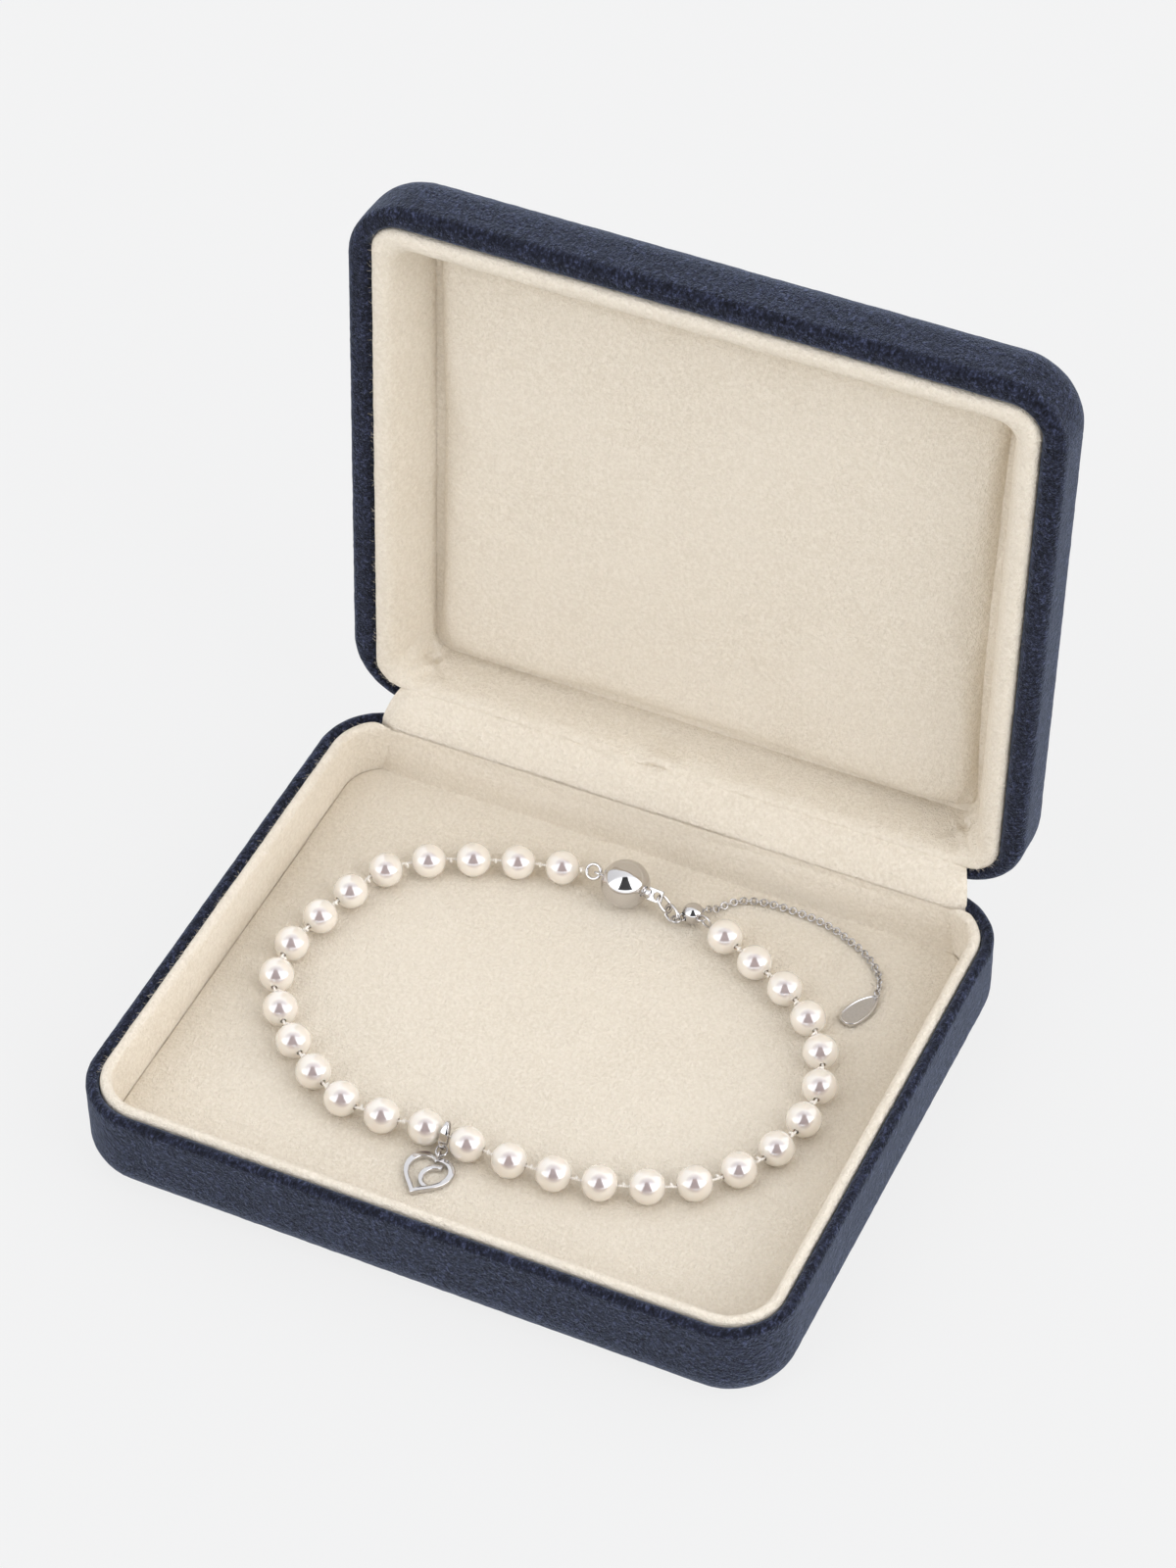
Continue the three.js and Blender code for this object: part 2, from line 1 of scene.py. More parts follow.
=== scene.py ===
"""Looks for a pearl anklet lying in an open, suede-covered presentation box."""

import json
import math
import random

import bmesh
import bpy
from mathutils import Matrix, Vector, noise


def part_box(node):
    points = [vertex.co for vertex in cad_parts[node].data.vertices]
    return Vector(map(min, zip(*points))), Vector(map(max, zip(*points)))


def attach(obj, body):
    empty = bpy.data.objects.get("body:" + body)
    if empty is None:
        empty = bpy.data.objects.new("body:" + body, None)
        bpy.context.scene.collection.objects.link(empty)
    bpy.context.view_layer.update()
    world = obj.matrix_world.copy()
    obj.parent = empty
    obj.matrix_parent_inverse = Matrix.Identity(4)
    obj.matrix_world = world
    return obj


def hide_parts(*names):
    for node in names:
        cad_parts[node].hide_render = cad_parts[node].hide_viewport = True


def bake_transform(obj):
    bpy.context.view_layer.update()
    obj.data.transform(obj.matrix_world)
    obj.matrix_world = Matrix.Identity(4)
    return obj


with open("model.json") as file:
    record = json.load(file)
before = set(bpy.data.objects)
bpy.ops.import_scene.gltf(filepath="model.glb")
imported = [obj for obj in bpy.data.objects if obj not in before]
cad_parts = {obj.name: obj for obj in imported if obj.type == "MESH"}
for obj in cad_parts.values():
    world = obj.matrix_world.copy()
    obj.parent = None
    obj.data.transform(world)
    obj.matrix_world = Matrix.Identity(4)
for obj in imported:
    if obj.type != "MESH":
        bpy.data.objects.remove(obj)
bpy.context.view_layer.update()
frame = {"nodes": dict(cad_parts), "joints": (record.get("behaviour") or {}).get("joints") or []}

bl_info = {
    "name": "Pearl anklet in a presentation box",
    "version": (1, 0, 0),
    "blender": (4, 5, 0),
    "location": "View3D > Sidebar > Anklet",
    "description": "Makes the box, its linings and the pearl anklet around the packed frame",
    "category": "Object",
}

MM = 0.001
UP = Vector((0, 0, 1))
MERGE_DISTANCE = 0.001 * MM              # points nearer than this become one
TINY = 1e-9                              # keeps a division by a length from failing

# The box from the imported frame: its hinge, half sizes, heights and the lid's rim plane.
HINGE_JOINT = frame["joints"][0]
HINGE = Vector(HINGE_JOINT["pos_m"])
OPEN_ANGLE = math.radians(HINGE_JOINT["range_deg"][1])
HALF_W, HALF_D, BASE_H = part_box("base_shell")[1]
PAD_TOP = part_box("base_pad")[1].z
RIM_Z = 2 * HINGE.z - BASE_H             # rim plane of the closed lid
LID_H = 13.7 * MM                        # from the lid's rim to its top
PLAN_R = 11 * MM                         # corner radius of the outer walls, seen from above
REST_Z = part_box("charm")[0].z            # what lies on the pad starts here
PEARL_COUNT = 30
PEARL_R = 2.85 * MM


# ---- settings --------------------------------------------------------------------------
class AnkletBoxSettings(bpy.types.PropertyGroup):
    suede_dark: bpy.props.FloatVectorProperty(
        name="Suede dark", description="Colour between the fibres of the suede",
        subtype="COLOR", size=3, min=0, max=1, default=(0.0012, 0.0013, 0.0032))
    suede_light: bpy.props.FloatVectorProperty(
        name="Suede light", description="Colour of the raised fibres of the suede",
        subtype="COLOR", size=3, min=0, max=1, default=(0.022, 0.026, 0.050))
    suede_grain: bpy.props.FloatProperty(
        name="Suede grain", description="Size of the suede's mottling",
        unit="LENGTH", min=0.0001, max=0.01, default=0.0007)
    lining_colour: bpy.props.FloatVectorProperty(
        name="Lining", description="Colour of the lining cloth",
        subtype="COLOR", size=3, min=0, max=1, default=(0.88, 0.795, 0.665))
    lining_shade: bpy.props.FloatVectorProperty(
        name="Lining shade", description="Colour between the fibres of the lining",
        subtype="COLOR", size=3, min=0, max=1, default=(0.77, 0.68, 0.545))
    lining_grain: bpy.props.FloatProperty(
        name="Lining grain", description="Size of the lining's mottling",
        unit="LENGTH", min=0.0001, max=0.01, default=0.0006)
    base_edge: bpy.props.FloatProperty(
        name="Base edge", description="Rounding between the base's sides and underside",
        unit="LENGTH", min=0.001, max=0.009, default=0.006)
    lid_edge: bpy.props.FloatProperty(
        name="Lid edge", description="Rounding between the lid's sides and top",
        unit="LENGTH", min=0.001, max=0.009, default=0.007)
    base_wall: bpy.props.FloatProperty(
        name="Base wall", description="Width of the base's rim",
        unit="LENGTH", min=0.001, max=0.003, default=0.002)
    lid_wall: bpy.props.FloatProperty(
        name="Lid wall", description="Width of the lid's rim",
        unit="LENGTH", min=0.003, max=0.005, default=0.0041)
    fibres: bpy.props.IntProperty(
        name="Loose fibres", description="Loose lining fibres along each rim",
        min=0, max=2000, default=520)


class AnkletJewelSettings(bpy.types.PropertyGroup):
    pearl_body: bpy.props.FloatVectorProperty(
        name="Pearl", description="Body colour of the pearls",
        subtype="COLOR", size=3, min=0, max=1, default=(0.44, 0.36, 0.345))
    pearl_overtone: bpy.props.FloatVectorProperty(
        name="Overtone", description="Overtone of some of the pearls",
        subtype="COLOR", size=3, min=0, max=1, default=(0.44, 0.35, 0.33))
    # Painted sheen: this paler colour is painted on each pearl towards its outline as seen from
    # the camera, leaving the darker body colour in the middle that faces it.
    pearl_painted_sheen: bpy.props.FloatVectorProperty(
        name="Pearl painted sheen", description="Paler colour of the pearls away from the viewer",
        subtype="COLOR", size=3, min=0, max=1, default=(0.80, 0.725, 0.63))
    silver: bpy.props.FloatVectorProperty(
        name="Silver", description="Colour of the polished metal",
        subtype="COLOR", size=3, min=0, max=1, default=(0.66, 0.64, 0.63))
    link_length: bpy.props.FloatProperty(
        name="Link length", description="Length of a chain link along its centre line",
        unit="LENGTH", min=0.0005, max=0.002, default=0.00112)
    link_wire: bpy.props.FloatProperty(
        name="Link wire", description="Thickness of the chain's wire",
        unit="LENGTH", min=0.0001, max=0.0004, default=0.00029)


class AnkletStageSettings(bpy.types.PropertyGroup):
    floor_glow: bpy.props.FloatProperty(
        name="Floor", description="Evenness of the pale floor", min=0, max=1, default=0.90)
    dome: bpy.props.FloatProperty(
        name="Dome", description="Strength of the soft light dome", min=0, max=5, default=1.06)


# ---- modelling helpers -----------------------------------------------------------------
def deselect():
    if bpy.context.mode != "OBJECT":
        bpy.ops.object.mode_set(mode="OBJECT")
    bpy.ops.object.select_all(action="DESELECT")


def activate(obj):
    deselect()
    obj.select_set(True)
    bpy.context.view_layer.objects.active = obj


def begin_edit(obj):
    activate(obj)
    bpy.ops.object.mode_set(mode="EDIT")
    return bmesh.from_edit_mesh(obj.data)


def outward(obj, smooth_degrees=60):
    """Turns all faces outward and smooths the shading."""
    begin_edit(obj)
    bpy.ops.mesh.select_all(action="SELECT")
    bpy.ops.mesh.normals_make_consistent(inside=False)
    bpy.ops.object.mode_set(mode="OBJECT")
    bpy.ops.object.shade_smooth_by_angle(angle=math.radians(smooth_degrees))


def named(obj, name):
    obj.name = name
    obj.data.name = name
    return obj


def apply_modifier(obj, kind, **settings):
    activate(obj)
    modifier = obj.modifiers.new(kind.title(), kind)
    for key, value in settings.items():
        setattr(modifier, key, value)
    bpy.ops.object.modifier_apply(modifier=modifier.name)


def ruffle(obj, size, depth, name):
    """Moves the surface a little in and out, as fibres and padding do."""
    cloud = bpy.data.textures.new(name, "CLOUDS")
    cloud.noise_scale = size
    cloud.noise_depth = 2
    apply_modifier(obj, "DISPLACE", texture=cloud, strength=depth, mid_level=0.5,
                   texture_coords="LOCAL")


STUFFING_PRESSURE = 4
SWELL_FRAMES = 20


def swell(pad, voxel, cap):
    """Fills a pad out under pressure, as stuffing does, no further than the cap."""
    apply_modifier(pad, "REMESH", mode="VOXEL", voxel_size=voxel)
    start = [vertex.co.copy() for vertex in pad.data.vertices]
    cloth = pad.modifiers.new("Cloth", "CLOTH")
    cloth.settings.use_pressure = True
    cloth.settings.uniform_pressure_force = STUFFING_PRESSURE
    cloth.settings.effector_weights.gravity = 0
    for step in range(1, SWELL_FRAMES + 1):
        bpy.context.scene.frame_set(step)
    shaped = pad.evaluated_get(bpy.context.evaluated_depsgraph_get())
    moves = [vertex.co - place for vertex, place in zip(shaped.data.vertices, start)]
    pad.modifiers.remove(cloth)
    bpy.context.scene.frame_set(1)
    for vertex, place, move in zip(pad.data.vertices, start, moves):
        vertex.co = place + move * min(1.0, cap / max(move.length, TINY))
    apply_modifier(pad, "SUBSURF", levels=1)
    outward(pad)


def fade(share):
    """1 in the middle of a dent or fold, falling smoothly to 0 at its reach."""
    return (1 - share * share) ** 2 if share < 1 else 0.0


def push(obj, centre, reach, move, squeeze=Vector((1, 1, 1))):
    """Moves the points near a place, less and less with distance."""
    for vertex in obj.data.vertices:
        away = vertex.co - centre
        scaled = Vector((away.x / squeeze.x, away.y / squeeze.y, away.z / squeeze.z))
        vertex.co += move * fade(scaled.length / reach)


def crease(obj, a, b, width, move):
    """Moves the points near a line, less and less to its sides, as a fold in cloth."""
    span = b - a
    for vertex in obj.data.vertices:
        t = max(0.0, min(1.0, (vertex.co - a).dot(span) / span.length_squared))
        vertex.co += move * fade((vertex.co - a - span * t).length / width)


def stack(name, rings):
    """One closed body: a circle set on the first ring, then extruded to each next one."""
    deselect()
    bpy.ops.mesh.primitive_circle_add(vertices=len(rings[0]), radius=0.05, fill_type="NGON")
    obj = bpy.context.object
    mesh = begin_edit(obj)
    slot = mesh.verts.layers.int.new("place")
    mesh.faces.ensure_lookup_table()
    for i, loop in enumerate(mesh.faces[0].loops):
        loop.vert[slot] = i
        loop.vert.co = rings[0][i]
    bmesh.update_edit_mesh(obj.data)
    bpy.ops.mesh.select_all(action="SELECT")
    for ring in rings[1:]:
        bpy.ops.mesh.extrude_region()
        mesh = bmesh.from_edit_mesh(obj.data)
        slot = mesh.verts.layers.int["place"]
        for vertex in mesh.verts:
            if vertex.select:
                vertex.co = ring[vertex[slot]]
        bmesh.update_edit_mesh(obj.data)
    bpy.ops.object.mode_set(mode="OBJECT")
    obj.data.attributes.remove(obj.data.attributes["place"])
    outward(obj)
    return named(obj, name)


CORNER_STEPS = 22
LONG_STEPS = 132
SHORT_STEPS = 106


def plan_ring(inset, z, radius=None, back=None, coarse=1):
    """The box's plan, moved in by the insets, as a level ring of evenly spread points."""
    back = inset if back is None else back
    radius = PLAN_R - inset if radius is None else radius
    x1 = HALF_W - inset - radius
    y0 = -HALF_D + inset + radius
    y1 = HALF_D - back - radius
    corners = [(x1, y1), (-x1, y1), (-x1, y0), (x1, y0)]

    def on_corner(k, quarters):
        x, y = corners[k % 4]
        a = quarters * math.pi / 2
        return Vector((x + radius * math.cos(a), y + radius * math.sin(a), z))

    points = []
    steps = CORNER_STEPS // coarse
    for k in range(4):
        points += [on_corner(k, k + i / steps) for i in range(steps + 1)]
        start, end = points[-1], on_corner(k + 1, k + 1)
        count = (LONG_STEPS if k % 2 == 0 else SHORT_STEPS) // coarse
        points += [start.lerp(end, i / count) for i in range(1, count)]
    return points


def smooth_rows(rows, per_span):
    """Catmull-Rom points through rows of numbers."""
    out = []
    for i in range(len(rows) - 1):
        a = rows[max(i - 1, 0)]
        b, c = rows[i], rows[i + 1]
        d = rows[min(i + 2, len(rows) - 1)]
        for k in range(per_span):
            t = k / per_span
            out.append(tuple(
                0.5 * (2 * q + (r - p) * t + (2 * p - 5 * q + 4 * r - s) * t * t
                       + (3 * q - p - 3 * r + s) * t ** 3)
                for p, q, r, s in zip(a, b, c, d)))
    out.append(tuple(rows[-1]))
    return out


def evenly(points, step):
    """Points along a line again, about a step apart."""
    lengths = [0.0]
    for a, b in zip(points, points[1:]):
        lengths.append(lengths[-1] + (b - a).length)
    count = max(2, round(lengths[-1] / step))
    out, k = [], 0
    for i in range(count + 1):
        at = lengths[-1] * i / count
        while k < len(points) - 2 and lengths[k + 1] < at:
            k += 1
        t = (at - lengths[k]) / max(lengths[k + 1] - lengths[k], TINY)
        out.append(points[k].lerp(points[k + 1], t))
    return out


def arc(centre_inset, centre_z, radius, start, end, steps):
    """(inset, z) pairs along an edge rounding between two angles, in degrees."""
    pairs = []
    for i in range(steps + 1):
        a = math.radians(start + (end - start) * i / steps)
        pairs.append((centre_inset - radius * math.cos(a), centre_z + radius * math.sin(a)))
    return pairs


def spaced(a, b, step):
    """Numbers strictly between two, about a step apart."""
    count = max(1, round(abs(b - a) / step))
    return [a + (b - a) * i / count for i in range(1, count)]


def open_lid(obj):
    """Turns a piece drawn on the closed lid to where the open lid has it."""
    obj.data.transform(Matrix.Translation(HINGE) @ Matrix.Rotation(-OPEN_ANGLE, 4, "X")
                       @ Matrix.Translation(-HINGE))


def basis(at, x_axis, y_hint):
    """A matrix that sets X and Y along two directions at a place."""
    x = x_axis.normalized()
    z = x.cross(y_hint).normalized()
    y = z.cross(x)
    return Matrix.Translation(at) @ Matrix((x, y, z)).transposed().to_4x4()


def signed_power(value, power):
    """A power that keeps its number's sign; under 1 it squares a circle's sine and cosine."""
    return math.copysign(abs(value) ** power, value)


def wire_ring(name, half_length, half_width, wire, at, along, across, corner=1.0,
              segments=40, sides=12):
    """A closed wire, drawn out to an oval, or to a rounded oblong with a corner under 1."""
    deselect()
    bpy.ops.mesh.primitive_torus_add(major_segments=segments, minor_segments=sides,
                                     major_radius=1, minor_radius=wire)
    obj = bpy.context.object
    for vertex in obj.data.vertices:
        x, y, z = vertex.co
        a = math.atan2(y, x)
        out = math.hypot(x, y) - 1
        c, s = math.cos(a), math.sin(a)
        line = Vector((half_length * signed_power(c, corner),
                       half_width * signed_power(s, corner), z))
        vertex.co = line + Vector((half_width * c, half_length * s, 0)).normalized() * out
    obj.data.transform(basis(at, along, across))
    bpy.ops.object.shade_smooth()
    return named(obj, name)


POLES_ALONG = Matrix.Rotation(math.pi / 2, 4, "Y")      # turns Z, the poles' axis, to X


def ball(name, radius, at, axis, segments=64, rings=40, bore=0.0):
    """A ball with its poles on a level axis, drilled through if it has a bore."""
    deselect()
    bpy.ops.mesh.primitive_uv_sphere_add(segments=segments, ring_count=rings, radius=radius)
    obj = bpy.context.object
    if bore:
        mesh = begin_edit(obj)
        for vertex in mesh.verts:
            vertex.select_set(math.hypot(vertex.co.x, vertex.co.y) < bore)
        mesh.select_flush_mode()
        bmesh.update_edit_mesh(obj.data)
        bpy.ops.mesh.delete(type="VERT")
        mesh = bmesh.from_edit_mesh(obj.data)
        for edge in mesh.edges:
            edge.select_set(edge.is_boundary)
        height = math.sqrt(radius ** 2 - bore ** 2)
        for vertex in mesh.verts:
            if vertex.select:
                flat = Vector((vertex.co.x, vertex.co.y, 0)).normalized() * bore
                vertex.co = Vector((flat.x, flat.y, math.copysign(height, vertex.co.z)))
        bmesh.update_edit_mesh(obj.data)
        bpy.ops.mesh.bridge_edge_loops()
        bpy.ops.object.mode_set(mode="OBJECT")
    obj.data.transform(basis(at, axis, UP) @ POLES_ALONG)
    outward(obj, 50)
    return named(obj, name)


def join(name, *objs):
    """One piece made of several bodies."""
    activate(objs[0])
    for obj in objs:
        obj.select_set(True)
    bpy.ops.object.join()
    return named(bpy.context.object, name)


def soften(obj, width):
    """Rounds the sharp edges of a small metal part."""
    apply_modifier(obj, "BEVEL", width=width, segments=3, limit_method="ANGLE",
                   angle_limit=math.radians(50))


def drawn(curve, lines, closed=False):
    """Draws straight-sided lines on a curve and makes it a mesh."""
    deselect()
    for line in lines:
        spline = curve.splines.new("POLY")
        spline.points.add(len(line) - 1)
        for spot, point in zip(spline.points, line):
            spot.co = (*point, 1)
        spline.use_cyclic_u = closed
    obj = bpy.data.objects.new(curve.name, curve)
    bpy.context.scene.collection.objects.link(obj)
    activate(obj)
    bpy.ops.object.convert(target="MESH")
    return bpy.context.object


def tube(name, points, radius):
    """A round thread or wire through points, made a mesh."""
    curve = bpy.data.curves.new(name, "CURVE")
    curve.dimensions = "3D"
    curve.bevel_depth = radius
    curve.bevel_resolution = 2
    curve.use_fill_caps = True
    obj = drawn(curve, [points])
    outward(obj, 50)
    return named(obj, name)


def flat_shape(name, outlines, thickness, bevel):
    """A plate cut to outlines in the XY plane, with softened edges, its middle at z 0."""
    curve = bpy.data.curves.new(name, "CURVE")
    curve.dimensions = "2D"
    curve.fill_mode = "BOTH"
    curve.extrude = thickness / 2 - bevel
    curve.bevel_depth = bevel
    curve.bevel_resolution = 3
    curve.offset = -bevel
    obj = drawn(curve, [[(x, y, 0) for x, y in line] for line in outlines], closed=True)
    begin_edit(obj)
    bpy.ops.mesh.select_all(action="SELECT")
    bpy.ops.mesh.remove_doubles(threshold=MERGE_DISTANCE)
    bpy.ops.object.mode_set(mode="OBJECT")
    outward(obj, 35)
    return named(obj, name)


def finish_piece(obj, body, material, nodes=()):
    """Gives a piece its material and its body, and hides the frame nodes that it stands for."""
    obj.data.materials.clear()
    obj.data.materials.append(material)
    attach(obj, body)
    if nodes:
        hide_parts(*nodes)


# ---- material helpers ------------------------------------------------------------------
class Nodes:
    """Short hand for adding and linking nodes in one tree."""

    def __init__(self, tree):
        self.tree = tree

    def add(self, kind, inputs=None, **settings):
        node = self.tree.nodes.new("ShaderNode" + kind)
        for key, value in settings.items():
            setattr(node, key, value)
        for key, value in (inputs or {}).items():
            self.put(node.inputs[key], value)
        return node

    def put(self, socket, value):
        if isinstance(value, bpy.types.NodeSocket):
            self.tree.links.new(value, socket)
        else:
            socket.default_value = value

    def math(self, operation, a, b=0.0, c=0.0):
        node = self.add("Math", operation=operation)
        for socket, value in zip(node.inputs, (a, b, c)):
            self.put(socket, value)
        return node.outputs[0]

    def ramp(self, value, low, high, to_low=0.0, to_high=1.0, smooth=False):
        node = self.add("MapRange", {"Value": value, "From Min": low, "From Max": high,
                                     "To Min": to_low, "To Max": to_high})
        if smooth:
            node.interpolation_type = "SMOOTHSTEP"
        return node.outputs[0]

    def mix(self, factor, a, b):
        node = self.add("Mix", data_type="RGBA")
        for index, value in ((0, factor), (6, a), (7, b)):
            self.put(node.inputs[index], value)
        return node.outputs[2]

    def noise(self, vector, scale, detail=2.0, roughness=0.5, distortion=0.0):
        return self.add("TexNoise", {"Vector": vector, "Scale": scale, "Detail": detail,
                                     "Roughness": roughness, "Distortion": distortion}
                        ).outputs["Fac"]


def group(name, ins, outs):
    """A new shader node group with named sockets: (tree, its inputs, its output node)."""
    tree = bpy.data.node_groups.new(name, "ShaderNodeTree")
    for label, kind, default in ins:
        socket = tree.interface.new_socket(label, in_out="INPUT", socket_type=kind)
        if default is not None:
            socket.default_value = default
    for label, kind in outs:
        tree.interface.new_socket(label, in_out="OUTPUT", socket_type=kind)
    source = tree.nodes.new("NodeGroupInput")
    sink = tree.nodes.new("NodeGroupOutput")
    return Nodes(tree), source.outputs, sink.inputs


def nap_group():
    """Brushed cloth: short clumps of fibre, streaks that follow the brushing, and patches."""
    found = bpy.data.node_groups.get("Brushed nap")
    if found:
        return found
    n, ins, outs = group(
        "Brushed nap",
        [("Grain", "NodeSocketFloat", 0.0006), ("Streak", "NodeSocketFloat", 0.4),
         ("Patch", "NodeSocketFloat", 0.014)],
        [("Mottle", "NodeSocketFloat"), ("Patches", "NodeSocketFloat"),
         ("Height", "NodeSocketFloat")])
    place = n.add("TexCoord").outputs["Object"]
    scale = n.math("DIVIDE", 1.0, ins["Grain"])
    turned = n.add("Mapping", {"Vector": place, "Rotation": (0.5, 0.35, 0.6),
                               "Scale": (1.0, 0.42, 0.8)}).outputs[0]
    clumps = n.noise(place, scale, 3.0, 0.62, 0.4)
    streaks = n.noise(turned, n.math("MULTIPLY", scale, 1.5), 3.0, 0.6, 0.8)
    fine = n.noise(place, n.math("MULTIPLY", scale, 3.2), 2.0, 0.6)
    both = n.add("Mix", {"Factor": ins["Streak"], "A": clumps, "B": streaks}).outputs[0]
    n.put(outs["Mottle"], n.ramp(both, 0.36, 0.66, smooth=True))
    patches = n.noise(place, n.math("DIVIDE", 1.0, ins["Patch"]), 2.0, 0.5, 0.6)
    n.put(outs["Patches"], n.ramp(patches, 0.3, 0.7, smooth=True))
    n.put(outs["Height"], n.math("MULTIPLY_ADD", fine, 0.35, both))
    return n.tree


def polish_group():
    """Polished metal: faint scratches and soft smears."""
    found = bpy.data.node_groups.get("Polish marks")
    if found:
        return found
    n, ins, outs = group(
        "Polish marks", [("Size", "NodeSocketFloat", 0.0008)],
        [("Smear", "NodeSocketFloat"), ("Height", "NodeSocketFloat")])
    place = n.add("TexCoord").outputs["Object"]
    scale = n.math("DIVIDE", 1.0, ins["Size"])
    stretched = n.add("Mapping", {"Vector": place, "Rotation": (0.2, 0.7, 0.4),
                                  "Scale": (6.0, 0.5, 1.0)}).outputs[0]
    n.put(outs["Smear"], n.noise(place, scale, 2.0, 0.5))
    n.put(outs["Height"], n.noise(stretched, scale, 3.0, 0.6))
    return n.tree


def new_material(name):
    material = bpy.data.materials.new(name)
    material.use_nodes = True
    n = Nodes(material.node_tree)
    shader = material.node_tree.nodes["Principled BSDF"]
    return material, n, shader


def use_group(n, tree, inputs):
    node = n.add("Group")
    node.node_tree = tree
    for key, value in inputs.items():
        n.put(node.inputs[key], value)
    return node


def colour(values, strength=1.0):
    """A colour for a socket, brighter or darker by a factor."""
    return (*[value * strength for value in values], 1.0)


def grey(value):
    return colour((value, value, value))


def set_even(shader, **values):
    """Sets what is the same all over a surface on the shader's own sockets; an underscore
    in a name stands for a space."""
    for key, value in values.items():
        shader.inputs[key.replace("_", " ")].default_value = value


def brushed_cloth(name, nap_sizes, dark, light, patch, relief):
    """Starts a cloth: (material, node maker, shader, the nap's outputs, its colour)."""
    material, n, shader = new_material(name)
    nap = use_group(n, nap_group(), nap_sizes).outputs
    mottle = n.mix(nap["Mottle"], dark, light)
    patched = n.mix(n.math("MULTIPLY", nap["Patches"], 0.3), mottle, patch)
    bump = n.add("Bump", {"Height": nap["Height"], "Strength": 1.0, "Distance": relief})
    n.put(shader.inputs["Normal"], bump.outputs[0])
    return material, n, shader, nap, patched


def suede_material(settings):
    found = bpy.data.materials.get("Navy suede")
    if found:
        return found
    light = settings.suede_light
    material, n, shader, nap, patched = brushed_cloth(
        "Navy suede", {"Grain": settings.suede_grain, "Streak": 0.55, "Patch": 12 * MM},
        colour(settings.suede_dark), colour(light), colour(light, 0.5), 0.5 * MM)
    specks = n.ramp(nap["Height"], 0.70, 0.86, smooth=True)
    n.put(shader.inputs["Base Color"], n.mix(specks, patched, colour(light, 2.6)))
    n.put(shader.inputs["Roughness"], n.ramp(nap["Mottle"], 0, 1, 0.95, 0.8))
    set_even(shader, Specular_IOR_Level=0.2, Sheen_Weight=0.6, Sheen_Roughness=0.32,
             Sheen_Tint=(0.42, 0.49, 0.64, 1))
    return material


def lining_material(settings):
    found = bpy.data.materials.get("Cream lining")
    if found:
        return found
    light = colour(settings.lining_colour)
    material, n, shader, nap, patched = brushed_cloth(
        "Cream lining", {"Grain": settings.lining_grain, "Streak": 0.3, "Patch": 20 * MM},
        colour(settings.lining_shade), light, light, 0.6 * MM)
    n.put(shader.inputs["Base Color"], patched)
    n.put(shader.inputs["Roughness"], n.ramp(nap["Mottle"], 0, 1, 1.0, 0.88))
    set_even(shader, Specular_IOR_Level=0.15, Sheen_Weight=0.12, Sheen_Roughness=0.5,
             Sheen_Tint=(1.0, 0.95, 0.86, 1))
    return material


def pearl_material(settings):
    found = bpy.data.materials.get("Pearl")
    if found:
        return found
    material, n, shader = new_material("Pearl")
    place = n.add("TexCoord").outputs["Object"]
    tone = n.ramp(n.noise(place, 90.0, 1.0), 0.35, 0.65, smooth=True)
    cloud = n.noise(place, 700.0, 2.0, 0.5, 0.5)
    body = n.mix(tone, colour(settings.pearl_body), colour(settings.pearl_overtone))
    body = n.mix(n.math("MULTIPLY", cloud, 0.2), body, colour(settings.pearl_body, 1.16))
    # Painted sheen: the base colour turns from the darker body colour in the middle facing the
    # camera to the paler colour towards the outline.
    facing = n.add("LayerWeight", {"Blend": 0.5}).outputs["Facing"]
    glow = n.ramp(facing, 0.03, 0.18, smooth=True)
    n.put(shader.inputs["Base Color"], n.mix(glow, body, colour(settings.pearl_painted_sheen)))
    n.put(shader.inputs["Roughness"], n.ramp(cloud, 0.3, 0.7, 0.06, 0.09))
    set_even(shader, IOR=2.3, Specular_Tint=(0.95, 1.0, 0.99, 1), Subsurface_Weight=0.2,
             Subsurface_Scale=1.2 * MM, Subsurface_Radius=(1.0, 0.7, 0.55),
             Coat_Weight=1.0, Coat_Roughness=0.09, Coat_IOR=1.9)
    return material


def silver_material(settings, name="Polished silver", roughness=0.05, satin=False):
    found = bpy.data.materials.get(name)
    if found:
        return found
    material, n, shader = new_material(name)
    mark_size = (0.4 if satin else 1.2) * MM
    relief = 0.25 if satin else 0.04
    darkest = 0.66 if satin else 0.93
    marks = use_group(n, polish_group(), {"Size": mark_size}).outputs
    bump = n.add("Bump", {"Height": marks["Height"], "Strength": relief,
                          "Distance": 0.06 * MM})
    n.put(shader.inputs["Base Color"],
          n.mix(marks["Smear"], colour(settings.silver, darkest), colour(settings.silver)))
    n.put(shader.inputs["Roughness"],
          n.ramp(marks["Smear"], 0.3, 0.7, roughness, roughness * 1.6))
    n.put(shader.inputs["Normal"], bump.outputs[0])
    set_even(shader, Metallic=1.0)
    return material


def silk_material():
    found = bpy.data.materials.get("Silk thread")
    if found:
        return found
    light, dark = (0.96, 0.91, 0.84, 1), (0.86, 0.79, 0.69, 1)
    material, n, shader = new_material("Silk thread")
    place = n.add("TexCoord").outputs["Object"]
    twist = n.add("TexWave", {"Vector": place, "Scale": 900.0, "Distortion": 1.5,
                              "Detail": 2.0}).outputs["Fac"]
    n.put(shader.inputs["Base Color"], n.mix(twist, dark, light))
    bump = n.add("Bump", {"Height": twist, "Strength": 0.5, "Distance": 0.05 * MM})
    n.put(shader.inputs["Normal"], bump.outputs[0])
    set_even(shader, Roughness=0.6)
    return material


